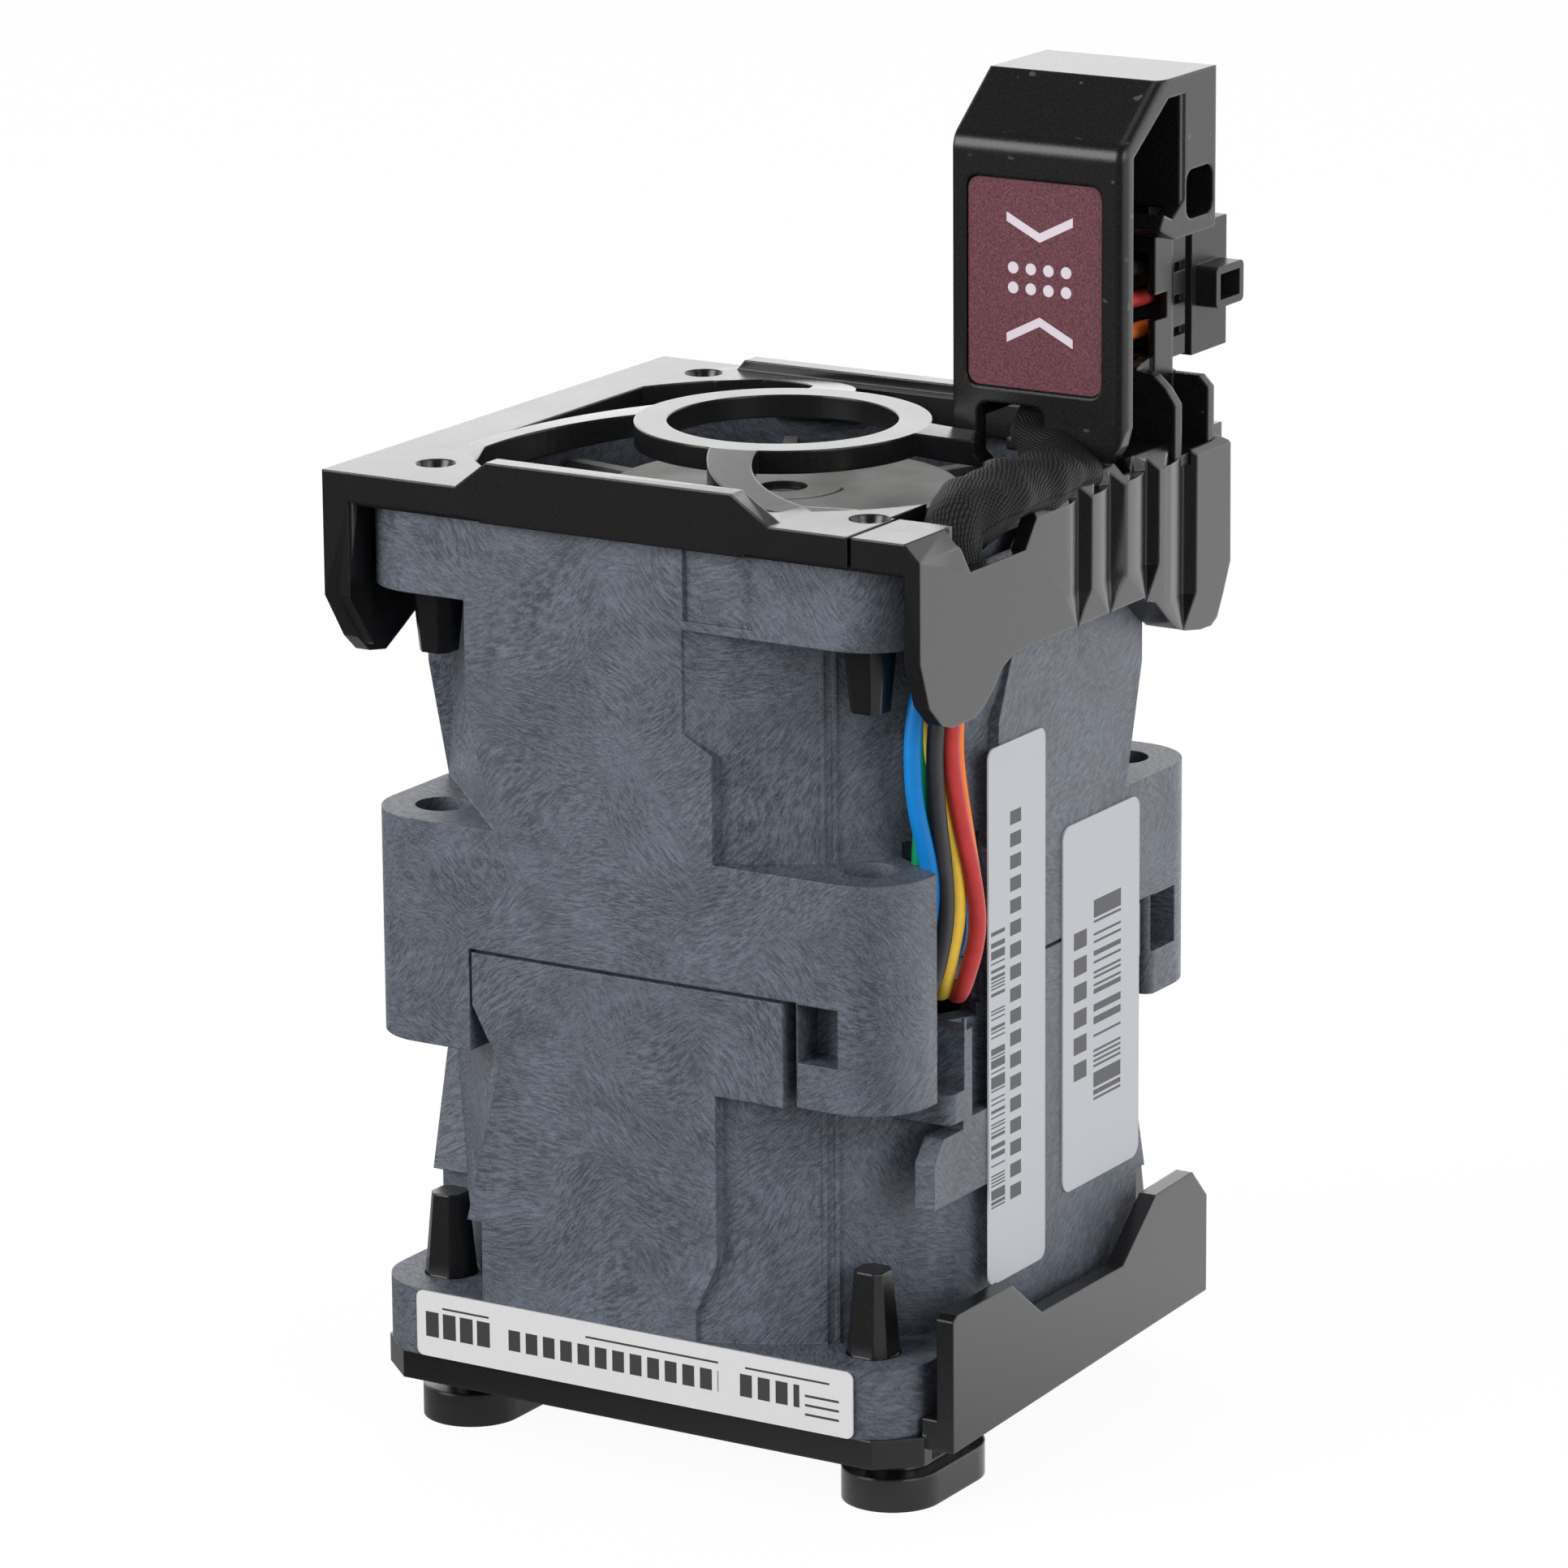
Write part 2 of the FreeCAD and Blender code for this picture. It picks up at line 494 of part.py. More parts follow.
def foot(side):
    x = side * FOOT_X
    head = obround(x, FOOT_FRONT_Y, FOOT_REAR_Y, FOOT_R, FOOT_BOTTOM, FOOT_TOP)
    neck = obround(x, FOOT_FRONT_Y + 0.6, FOOT_REAR_Y - 0.6, FOOT_R - 1.2, FOOT_TOP, -BASE_T)
    plug = cylinder(1.6, -BASE_T, -0.05, x, FOOT_FRONT_Y + 1.2)
    return fuse([head, neck, plug])


def bearing_sleeve():
    return tube(BEARING_R, SLEEVE_R, SPLIT_Z + 0.05, SPLIT_Z + BASE_DISC_T + 17.0)


def bearings():
    low = SPLIT_Z + BASE_DISC_T
    return Part.makeCompound([tube(BEARING_BORE_R, BEARING_R, low + a, low + a + 2.3) for a in (0.2, 14.2)])


def motor_shaft():
    low = SPLIT_Z + BASE_DISC_T
    shaft = cylinder(SHAFT_R, low - 1.2, low + MOTOR_TOP - 0.6)
    return cut(shaft, [tube(SHAFT_R - 0.2, SHAFT_R + 1, low - 0.6, low - 0.3)])


def retaining_clip():
    low = SPLIT_Z + BASE_DISC_T
    ring = tube(SHAFT_R - 0.2, SHAFT_R + 0.9, low - 0.6, low - 0.3)
    return cut(ring, [box(0, 3, -0.45, 0.45, low - 1, low)])


def preload_washer():
    low = SPLIT_Z + BASE_DISC_T + 16.7
    return revolve([(SHAFT_R, low + 0.55), (SHAFT_R, low + 0.7), (2.3, low + 0.15), (2.3, low)])


def stator_core():
    low = SPLIT_Z + BASE_DISC_T + 4.0
    high = low + 9.0
    hub = tube(SLEEVE_R, 4.6, low, high)
    rim = tube(7.6, 8.5, low, high)
    teeth = []
    slots = []
    for k in range(STATOR_TEETH):
        angle = k * 360 / STATOR_TEETH
        teeth.append(turned(box(4.2, 8.0, -0.8, 0.8, low, high), angle))
        slots.append(turned(box(7.0, 9.5, -0.5, 0.5, low - 1, high + 1), angle + 180 / STATOR_TEETH))
    return cut(fuse([hub, rim] + teeth), slots)


def windings():
    low = SPLIT_Z + BASE_DISC_T + 3.2
    coils = []
    for k in range(STATOR_TEETH):
        coil = box(4.9, 7.3, -1.7, 1.7, low, low + 10.6)
        coil = cut(coil, [box(4.0, 9.0, -0.8, 0.8, low + 0.8, low + 9.8)])
        coils.append(turned(coil, k * 360 / STATOR_TEETH))
    return Part.makeCompound(coils)


def circuit_board():
    low = SPLIT_Z + BASE_DISC_T
    return tube(SLEEVE_R + 0.2, BOARD_R, low, low + 0.9)


def magnet_ring():
    low = SPLIT_Z + BASE_DISC_T
    return tube(8.9, MAGNET_R, low + 3.0, low + 14.0)


def rotor_yoke():
    low = SPLIT_Z + BASE_DISC_T
    top = low + MOTOR_TOP - 1.6
    wall = tube(MAGNET_R, YOKE_R, low + 2.2, top)
    lid = tube(2.6, YOKE_R, top - 0.5, top)
    return fuse([wall, lid])


def blade_section(radius, sweep, thickness, z_root, z_top):
    """Closed outline of the blade at one radius: a bowed strip between its root and top heights."""
    belly = 0.34 * sweep - 0.6
    middle = []
    for k in range(BLADE_STEPS + 1):
        s = k / BLADE_STEPS
        middle.append((sweep * (s - 0.5) + 4 * belly * s * (1 - s), z_root + s * (z_top - z_root)))
    front = [Vector(radius, y - thickness / 2, z) for y, z in middle]
    back = [Vector(radius, y + thickness / 2, z) for y, z in reversed(middle)]
    return Part.makePolygon(front + back + [front[0]])


def blade(angle):
    """Fan blade: a bowed strip whose slope lessens from the root to the tip."""
    low = SPLIT_Z + BASE_DISC_T
    z_top = low + MOTOR_TOP - 0.7
    rings = ((10.6, 7.0, 1.3), (14.5, 9.0, 1.05), (19.2, 11.4, 0.9))
    sections = [blade_section(radius, sweep, thickness, low + 3.6, z_top)
                for radius, sweep, thickness in rings]
    return turned(Part.makeLoft(sections, True, True), angle)


def impeller(count):
    low = SPLIT_Z + BASE_DISC_T
    top = low + MOTOR_TOP
    lid = top - 1.6
    cup = cylinder(HUB_R, low + 2.6, top).cut(cylinder(YOKE_R, low + 1, lid))
    boss = tube(SHAFT_R, 2.6, low + 17.4, top)
    cup = cut(cup, [cylinder(2.0, lid - 0.4, top + 1)])
    body = fuse([cup, boss])
    blades = [blade(k * 360 / count) for k in range(count)]
    zone = tube(HUB_R - 0.5, BLADE_TIP_R, low, top + 2)
    blades = [b.common(zone) for b in blades]
    recess = cylinder(1.55, top - 0.45, top + 1)
    groove = tube(3.75, 4.0, top - 0.2, top + 1).cut(box(-5, 5, 1.5, 6, low, top + 2))
    return cut(fuse([body] + blades), [recess, groove])


def arm_profile(bottom):
    """Side view of the arm's front, slope and top."""
    return [(ARM_FRONT, bottom), (ARM_FRONT, ARM_BEND), (ARM_SLOPE_Y, ARM_TOP), (ARM_BACK, ARM_TOP)]


def arm_envelope():
    """Block round the arm whose front edges are rounded, so that what lies within it is rounded too."""
    block = prism_yz(arm_profile(ARM_FOOT - 1)[:3] + [(ARM_BACK + 9, ARM_TOP), (ARM_BACK + 9, ARM_FOOT - 1)],
                     ARM_LEFT, ARM_RIGHT)
    bend = [edge for edge in block.Edges
            if abs(edge.CenterOfMass.z - ARM_BEND) < 0.01 and abs(edge.CenterOfMass.y - ARM_FRONT) < 0.01]
    block = block.makeFillet(1.5, bend)
    side = [edge for edge in block.Edges
            if abs(edge.CenterOfMass.x - ARM_RIGHT) < 0.01 and abs(edge.CenterOfMass.y - ARM_FRONT) < 0.01]
    return block.makeFillet(0.7, side)


def arm_side(x0, x1):
    """Side wall of the arm with its large window."""
    inside = [(ARM_BACK, POCKET_Z), (12.0, POCKET_Z), (9.9, 72.5), (6.4, 72.5), (6.4, 60.0)]
    wall = prism_yz(arm_profile(60.0) + inside, x0, x1)
    window = prism_yz([(6.3, 59.0), (6.3, 77.6), (10.9, 80.8), (13.1, 80.8), (13.1, 74.0), (10.6, 72.4),
                       (10.6, 59.0)], x0 - 1, x1 + 1)
    return cut(wall, [window])


def arm_foot():
    """Pocket at the arm's foot: floor, front wall, back wall and the plate behind them."""
    floor = box(ARM_LEFT, ARM_RIGHT, ARM_BACK - 5.2, ARM_BACK, ARM_FOOT, ARM_FOOT + 0.75)
    front = prism_xz([(18.0, ARM_FOOT), (18.0, 63.0), (20.4, 62.6), (21.3, 61.8), (ARM_RIGHT, 60.8),
                      (ARM_RIGHT, ARM_FOOT)], ARM_BACK - 5.2, ARM_BACK - 4.3)
    back = prism_xz([(18.4, ARM_FOOT), (18.4, 61.9), (21.3, 61.9), (ARM_RIGHT, 61.2), (ARM_RIGHT, ARM_FOOT)],
                    ARM_BACK - 0.8, ARM_BACK)
    plate = prism_yz([(12.0, ARM_FOOT), (12.0, 63.0), (13.6, 63.35), (14.35, 63.35), (ARM_BACK, 61.9),
                      (ARM_BACK, ARM_FOOT)], 18.4, 19.2)
    rear = box(ARM_LEFT, 18.5, ARM_BACK - 0.8, ARM_BACK, ARM_FOOT, 61.0)
    return [floor, front, back, plate, rear]


def connector_arm():
    front = box(ARM_LEFT, ARM_RIGHT, ARM_FRONT, ARM_FRONT + ARM_WALL, ARM_LEG, ARM_BEND)
    shell = prism_yz(arm_profile(ARM_LEG) + [(ARM_BACK, ARM_LEG)], ARM_LEFT, ARM_RIGHT)
    inside = prism_yz([(ARM_FRONT + ARM_WALL, 50.0), (ARM_FRONT + ARM_WALL, ARM_BEND - 0.4),
                       (ARM_SLOPE_Y + 0.4, ARM_TOP - ARM_WALL), (ARM_BACK - ARM_WALL, ARM_TOP - ARM_WALL),
                       (ARM_BACK - ARM_WALL, 50.0)], ARM_LEFT - 1, ARM_RIGHT + 1)
    below = box(0, 30, ARM_SLOPE_Y, 30, 50, POCKET_Z)
    cover = cut(shell, [inside, below])
    right = arm_side(ARM_RIGHT - ARM_WALL, ARM_RIGHT)
    left = prism_yz(arm_profile(60.0) + [(ARM_BACK, POCKET_Z), (14.0, POCKET_Z), (14.0, 60.0)], ARM_LEFT,
                    ARM_LEFT + ARM_WALL)
    pocket_floor = prism_yz([(9.9, 72.5), (11.9, POCKET_Z), (ARM_BACK, POCKET_Z), (ARM_BACK, POCKET_Z + 1),
                             (12.4, 72.6),
                             (10.4, 73.4)], ARM_LEFT, ARM_RIGHT)
    pocket_back = box(18.4, 19.4, 13.1, ARM_BACK, 72.0, ARM_TOP - 1)
    inner_web = box(ARM_LEFT, ARM_RIGHT - 0.1, 12.6, 13.4, 73.4, ARM_TOP - 1)
    pocket = rounded_yz(13.3, 16.85, POCKET_Z + 1, 75.8, 0.8, 19.4, ARM_RIGHT + 1)
    cradle = box(ARM_LEFT, 19.4, 14.0, 16.4, ARM_FOOT, 72.0)
    wires = box(11.9, 18.9, 13.0, 17.0, 63.4, 70.2)
    cradle_notch = box(18.9, 20.0, 13.0, 15.6, 65.7, 67.4)
    body = fuse([front, cover, right, left, pocket_floor, pocket_back, inner_web, cradle] + arm_foot())
    body = body.common(arm_envelope())
    notch = rounded_xz(ARM_NOTCH[0], ARM_NOTCH[1], ARM_LEG - 3, ARM_NOTCH[2], 0.8,
                       ARM_FRONT - 1, ARM_FRONT + 2)
    leg_corner = prism_xz([(18.9, 57.2), (20.2, 57.6), (21.1, 58.3), (21.7, 59.3), (22.1, 60.8), (23, 60.8),
                           (23, 57.2)],
                          ARM_FRONT - 1, ARM_FRONT + 1.3)
    recess = rounded_xz(10.5, 20.4, 62.3, 75.9, 0.9, ARM_FRONT - 1, ARM_FRONT + 0.4)
    return cut(body, [wires, cradle_notch, pocket, notch, leg_corner, recess]).removeSplitter()


def rounded_xz(x0, x1, z0, z1, radius, y0, y1):
    """Plate in the XZ plane with rounded corners."""
    block = box(x0, x1, y0, y1, z0, z1)
    edges = [e for e in block.Edges if abs(e.tangentAt(e.FirstParameter).y) > 0.9]
    return block.makeFillet(radius, edges)


def rounded_yz(y0, y1, z0, z1, radius, x0, x1):
    """Plate in the YZ plane with rounded corners."""
    block = box(x0, x1, y0, y1, z0, z1)
    edges = [e for e in block.Edges if abs(e.tangentAt(e.FirstParameter).x) > 0.9]
    return block.makeFillet(radius, edges)


TERMINAL_X = (13.35, 15.45, 17.55)
TERMINAL_Z = (64.7, 66.8, 68.9)
# Column and row of each wire at the connector
TERMINAL_SLOTS = {
    "wire_orange": (2, 0), "wire_blue_second": (1, 0), "wire_light_grey": (0, 0),
    "wire_red": (2, 1), "wire_yellow": (1, 1), "wire_green": (0, 1),
    "wire_dark_grey": (2, 2), "wire_blue": (1, 2)}


def connector_housing():
    body = box(11.5, 19.4, 18.9, 23.6, 62.6, 71.1)
    waist = box(12.0, 18.9, 18.2, 18.9, 63.1, 70.5)
    key = rounded_yz(19.3, 23.0, 65.7, 68.4, 0.4, 19.3, 21.0)
    key = cut(key, [box(19.6, 22, 19.85, 22.45, 66.2, 67.9)])
    cavities = [box(x - 0.75, x + 0.75, 17, 24, z - 0.75, z + 0.75) for x in TERMINAL_X for z in TERMINAL_Z]
    return cut(fuse([body, waist, key]), cavities)


def connector_retainer():
    body = box(11.6, 19.3, 16.4, 18.2, 62.9, 71.0)
    cavities = [box(x - 0.6, x + 0.6, 16, 19, z - 0.6, z + 0.6) for x in TERMINAL_X for z in TERMINAL_Z]
    windows = [box(18.6, 20, 16.7, 18.5, z - 0.5, z + 0.1) for z in TERMINAL_Z]
    return cut(body, cavities + windows)


def connector_terminals():
    terminals = []
    for column, row in TERMINAL_SLOTS.values():
        x = TERMINAL_X[column]
        z = TERMINAL_Z[row]
        barrel = box(x - 0.55, x + 0.55, 18.3, 23.0, z - 0.55, z + 0.55)
        barrel = cut(barrel, [box(x - 0.4, x + 0.4, 18.8, 24, z - 0.4, z + 0.4)])
        crimp = box(x - 0.45, x + 0.45, 17.2, 18.3, z - 0.5, z + 0.5)
        terminals.append(fuse([barrel, crimp]))
    return Part.makeCompound(terminals)


TRUNK = (19.15, -12.25)
LANE_U = (math.cos(math.radians(CHANNEL_ANGLE)), math.sin(math.radians(CHANNEL_ANGLE)))
LANE_V = (-LANE_U[1], LANE_U[0])
BUNDLE_R = 1.3
BUNDLE_START = -44.2
# Each wire's place round the bundle, distance from the axis at the loop, lane, and fan it serves
WIRES = {
    "wire_dark_grey": (0, 23.17, -0.38, "lower"),
    "wire_red": (1, 23.17, 2.55, "lower"),
    "wire_orange": (2, 21.53, 2.21, "upper"),
    "wire_blue_second": (3, 21.53, 0.64, "upper"),
    "wire_light_grey": (4, 21.53, -0.57, "upper"),
    "wire_green": (5, 21.53, -1.75, "upper"),
    "wire_blue": (6, 23.17, -1.67, "lower"),
    "wire_yellow": (None, 23.17, 1.32, "lower")}
LOOP_BENDS = {"lower": 3.2, "upper": 2.2}
LANES = {"lower": (-1.8, -0.6, 0.65, 1.9), "upper": (-1.8, -0.6, 0.55, 1.8)}
SLEEVE_PATH = [(TRUNK[0], TRUNK[1], 50.0), (TRUNK[0], TRUNK[1], SLEEVE_LEVEL), (18.9, -1.8, SLEEVE_LEVEL),
               (13.95, 4.1, SLEEVE_LEVEL), (13.95, 10.4, SLEEVE_LEVEL), (13.95, 10.4, 62.2)]
SLEEVE_BENDS = [2.15, 4.0, 4.0, 2.15]


def route(points, radii):
    """Wire of straight runs joined by tangent arcs at the inner points."""
    edges = []
    start = Vector(*points[0])
    for i in range(1, len(points) - 1):
        corner = Vector(*points[i])
        before = (Vector(*points[i - 1]) - corner).normalize()
        after = (Vector(*points[i + 1]) - corner).normalize()
        half = before.getAngle(after) / 2
        reach = radii[i - 1] / math.tan(half)
        first = corner + before * reach
        last = corner + after * reach
        bisector = (before + after).normalize()
        middle = corner + bisector * (radii[i - 1] / math.sin(half) - radii[i - 1])
        if (first - start).Length > 1e-6:
            edges.append(Part.LineSegment(start, first).toShape())
        edges.append(Part.Arc(first, middle, last).toShape())
        start = last
    edges.append(Part.LineSegment(start, Vector(*points[-1])).toShape())
    return Part.Wire(edges)


def swept(path, radius, sides):
    """Rod along a path, with a regular polygon as its section."""
    first = path.Edges[0]
    start = first.valueAt(first.FirstParameter)
    direction = first.tangentAt(first.FirstParameter)
    across = direction.cross(Vector(0.3, 0.2, 0.9) if abs(direction.z) < 0.9 else Vector(1, 0, 0)).normalize()
    beside = direction.cross(across)
    corners = []
    for k in range(sides):
        angle = (k + 0.5) * 2 * math.pi / sides
        corners.append(start + across * (radius * math.cos(angle)) + beside * (radius * math.sin(angle)))
    return path.makePipeShell([Part.makePolygon(corners + [corners[0]])], True, False)


def parallel_path(points, bends, dx, dy):
    """Path beside another one: each corner stays on the bend's middle plane, each arc keeps its centre."""
    here = [Vector(*p) for p in points]
    moved = [here[0] + Vector(dx, dy, 0)]
    radii = []
    for i in range(1, len(here) - 1):
        before = (here[i] - here[i - 1]).normalize()
        after = (here[i + 1] - here[i]).normalize()
        normal = (before + after).normalize()
        distance = (here[i] - moved[-1]).dot(normal) / before.dot(normal)
        moved.append(moved[-1] + before * distance)
        inward = (after - before * before.dot(after)).normalize()
        radii.append(bends[i - 1] - (moved[-1] - here[i]).dot(inward))
    last = (here[-1] - here[-2]).normalize()
    moved.append(moved[-1] + last * (here[-1] - moved[-1]).dot(last))
    return [tuple(p) for p in moved], radii


def bundle_offset(place):
    if place is None:
        return 0.04, 0.06
    angle = math.radians(BUNDLE_START + place * 360 / 7)
    return BUNDLE_R * math.cos(angle), BUNDLE_R * math.sin(angle)


def lane_point(distance, side, z):
    return (distance * LANE_U[0] + side * LANE_V[0], distance * LANE_U[1] + side * LANE_V[1], z)


def wire(name):
    """One insulated wire from its circuit board, out of the channel, up the corner and to the connector."""
    place, loop_r, loop_side, fan = WIRES[name]
    order = sorted((side, key) for key, (_, _, side, group) in WIRES.items() if group == fan)
    lane = LANES[fan][[key for _, key in order].index(name)]
    z_end = SPLIT_Z + TROUGH_Z if fan == "upper" else SPLIT_Z - TROUGH_Z
    dx, dy = bundle_offset(place)
    trunk, trunk_bends = parallel_path(SLEEVE_PATH, SLEEVE_BENDS, dx, dy)
    column, row = TERMINAL_SLOTS[name]
    x_end = TERMINAL_X[column]
    z_top = TERMINAL_Z[row] + LIFT
    points = [lane_point(10.4, lane, z_end), lane_point(18.6, lane, z_end), lane_point(loop_r, loop_side, z_end),
              lane_point(loop_r, loop_side, SPLIT_Z + 5), (trunk[0][0], trunk[0][1], SPLIT_Z + 16.5)]
    radii = [3.0, LOOP_BENDS[fan], 12.0, 12.0]
    points += [(x, y, z + LIFT) for x, y, z in trunk[1:-1]]
    radii += trunk_bends
    x_up, y_up = trunk[-1][0], trunk[-1][1]
    points += [(x_up, y_up, z_top), (x_end, 13.7, z_top), (x_end, 17.2, z_top)]
    radii += [1.7, 1.2]
    octagon_r = WIRE_R * math.sqrt(math.pi / (4 * math.sin(math.pi / 4)))
    return swept(route(points, radii), octagon_r, WIRE_SIDES)


def cable_sleeve():
    path = route([(TRUNK[0], TRUNK[1], SLEEVE_START)] + SLEEVE_PATH[1:], SLEEVE_BENDS)
    return cut(swept(path, SLEEVE_OUT, SLEEVE_SIDES), [swept(path, SLEEVE_IN, SLEEVE_SIDES)])


def labels():
    front = rounded_xz(-16.0, 16.9, 0.05, 4.45, 0.5, -FAN_HALF - LABEL_T, -FAN_HALF)
    narrow = rounded_yz(-8.6, -1.4, 7.3, 42.5, 0.7, FAN_HALF, FAN_HALF + LABEL_T)
    wide = rounded_yz(0.9, 10.95, 10.8, 35.2, 0.9, FAN_HALF, FAN_HALF + LABEL_T)
    press = rounded_xz(10.6, 20.3, 62.4, 75.8, 0.8, ARM_FRONT + 0.2, ARM_FRONT + 0.4)
    return {"front_label": front, "side_label_narrow": narrow, "side_label_wide": wide,
            "press_label": raised(press)}


def motor_parts(blade_count):
    return {"bearing_sleeve": bearing_sleeve(), "bearings": bearings(), "shaft": motor_shaft(),
            "retaining_clip": retaining_clip(), "preload_washer": preload_washer(), "stator_core": stator_core(),
            "windings": windings(), "circuit_board": circuit_board(), "magnet_ring": magnet_ring(),
            "rotor_yoke": rotor_yoke(), "impeller": impeller(blade_count)}


def raised(shape):
    """Move a part that is drawn for the usual fan height to the top of this fan."""
    copy = shape.copy()
    copy.translate(Vector(0, 0, LIFT))
    return copy


def all_nodes():
    nodes = {"upper_fan_housing": upper_fan_housing(), "lower_fan_housing": lower_fan_housing(),
             "end_frame": raised(end_frame()), "base_plate": base_plate(), "foot_left": foot(-1),
             "foot_right": foot(1), "connector_arm": raised(connector_arm()),
             "connector_housing": raised(connector_housing()), "connector_retainer": raised(connector_retainer()),
             "connector_terminals": raised(connector_terminals()), "cable_sleeve": raised(cable_sleeve())}
    nodes.update(labels())
    for name in WIRES:
        nodes[name] = wire(name)
    for name, shape in motor_parts(UPPER_BLADES).items():
        nodes["upper_" + name] = shape
    for name, shape in motor_parts(LOWER_BLADES).items():
        nodes["lower_" + name] = flipped(shape)
    return nodes


def main():
    os.makedirs("parts", exist_ok=True)
    for name, shape in all_nodes().items():
        placed = shape.copy()
        placed.translate(Vector(0, 0, -BAND_TOP))
        placed.exportStep("parts/" + name + ".step")
        bounds = placed.BoundBox
        print(name, len(placed.Solids), placed.isValid(), round(placed.Volume, 1),
              [round(v, 2) for v in (bounds.XMin, bounds.XMax, bounds.YMin, bounds.YMax, bounds.ZMin, bounds.ZMax)])


main()
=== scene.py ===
import json
import math

import bmesh
import bpy
import numpy as np
from mathutils import Matrix, Vector


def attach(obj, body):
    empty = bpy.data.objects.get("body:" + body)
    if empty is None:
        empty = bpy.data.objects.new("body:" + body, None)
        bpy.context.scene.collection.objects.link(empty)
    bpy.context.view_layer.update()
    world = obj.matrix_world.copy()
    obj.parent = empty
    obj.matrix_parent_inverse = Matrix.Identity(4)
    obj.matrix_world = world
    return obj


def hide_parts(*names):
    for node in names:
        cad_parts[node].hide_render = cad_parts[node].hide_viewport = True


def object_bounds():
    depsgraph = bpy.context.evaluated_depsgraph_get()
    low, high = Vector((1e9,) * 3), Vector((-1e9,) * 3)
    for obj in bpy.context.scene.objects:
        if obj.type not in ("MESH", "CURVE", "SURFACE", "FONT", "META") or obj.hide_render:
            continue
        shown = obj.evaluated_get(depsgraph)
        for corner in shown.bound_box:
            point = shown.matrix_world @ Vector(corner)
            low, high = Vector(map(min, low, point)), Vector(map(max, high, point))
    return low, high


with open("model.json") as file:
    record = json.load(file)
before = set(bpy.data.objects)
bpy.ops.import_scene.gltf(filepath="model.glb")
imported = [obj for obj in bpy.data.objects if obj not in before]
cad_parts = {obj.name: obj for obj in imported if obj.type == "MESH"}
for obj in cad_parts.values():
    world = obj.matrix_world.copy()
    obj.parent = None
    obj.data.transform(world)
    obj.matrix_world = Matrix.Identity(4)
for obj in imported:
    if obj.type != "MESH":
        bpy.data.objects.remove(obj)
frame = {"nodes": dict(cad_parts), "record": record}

# Looks of the plug-in fan module. Metres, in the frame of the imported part: the origin is on the
# rotors' axis, level with the upper face of the middle flange. -Y is the front with the long label,
# +X is the side with the wires and the two tall labels, +Z is the guarded air inlet.

MM = 0.001
NODES = frame["nodes"]
CAD_LOW, CAD_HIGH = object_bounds()

# Camera: angles in degrees, distance in metres, focal length as pixels of a frame of the given width
CAMERA_AZIMUTH = 31.56
CAMERA_ELEVATION = 14.86
CAMERA_ROLL = -0.46
CAMERA_DISTANCE = 0.4983
CAMERA_TARGET = Vector((-0.13 * MM, 0.0, -0.28 * MM))
CLIP_START = 0.05
CLIP_END = 20.0
SENSOR = 36.0
FOCAL_PIXELS = 9479.0
FRAME_PIXELS = 1932.0
LENS = FOCAL_PIXELS / FRAME_PIXELS * SENSOR

# Floor under the feet: how white the camera sees it, the part of its look that is plain white, and its
# glow in reflections before and behind the object, which changes over a stretch in millimetres, along
# the way from the camera
FLOOR_Z = CAD_LOW.z
FLOOR_SIZE = 3.0
FLOOR_WHITE = 1.08
FLOOR_WHITE_SHARE = 0.88
FLOOR_GLOW_FRONT = 0.12
FLOOR_GLOW_BACK = 1.75
FLOOR_GLOW_STRETCH = (-40.0, 45.0)
FLOOR_GLOW_WAY = (0.5, 0.86)
WHITE = (1.0, 1.0, 1.0, 1.0)

# Surroundings: light that they give, and glow in reflections low down and overhead, behind and in front
WORLD_LIGHT = 0.55
SKY_GLOW_LOW = 2.6
SKY_GLOW_HIGH = 0.07
SKY_HEIGHTS = (0.3, 0.7)
SKY_FRONT_SHARE = 0.1
SKY_FRONT_STRETCH = (-0.5, 0.3)

# Each lamp: place and width in metres, power in watts
LAMPS = {"key": ((-0.5, -0.8, 0.4), 0.6, 9.0),
         "right": ((0.9, -0.3, 0.35), 0.5, 4.2),
         "top": ((0.0, 0.25, 0.95), 0.6, 2.5)}

# Dark and light end of each finish, in linear colour
SHADES = {
    "housing": ((0.018, 0.022, 0.029), (0.142, 0.162, 0.204)),
    "frame": ((0.004, 0.004, 0.0045), (0.009, 0.009, 0.010)),
    "arm": ((0.005, 0.005, 0.0055), (0.012, 0.012, 0.013)),
    "foot": ((0.004, 0.004, 0.004), (0.012, 0.012, 0.012)),
    "connector": ((0.008, 0.008, 0.009), (0.018, 0.018, 0.02)),
    "terminal": ((0.55, 0.50, 0.40), (0.85, 0.80, 0.68)),
    "impeller": ((0.05, 0.05, 0.048), (0.30, 0.30, 0.28)),
    "sleeve": ((0.001, 0.001, 0.001), (0.029, 0.029, 0.030)),
    "floor": ((0.40, 0.40, 0.40), (0.42, 0.42, 0.42)),
    "front_paper": ((0.54, 0.54, 0.545), (0.60, 0.60, 0.605)),
    "side_paper": ((0.52, 0.54, 0.575), (0.58, 0.60, 0.64)),
    "press_label": ((0.075, 0.022, 0.031), (0.210, 0.078, 0.098))}
DUST = (0.2, 0.2, 0.2)
# Painted shade: near-black for the impeller's sunken shaft's end and the ring round it
HOLLOW_SHADE = (0.004, 0.004, 0.004)
FRONT_INK = (0.035, 0.035, 0.037)
SIDE_INK = (0.05, 0.05, 0.055)
PRESS_INK = (0.62, 0.56, 0.62)
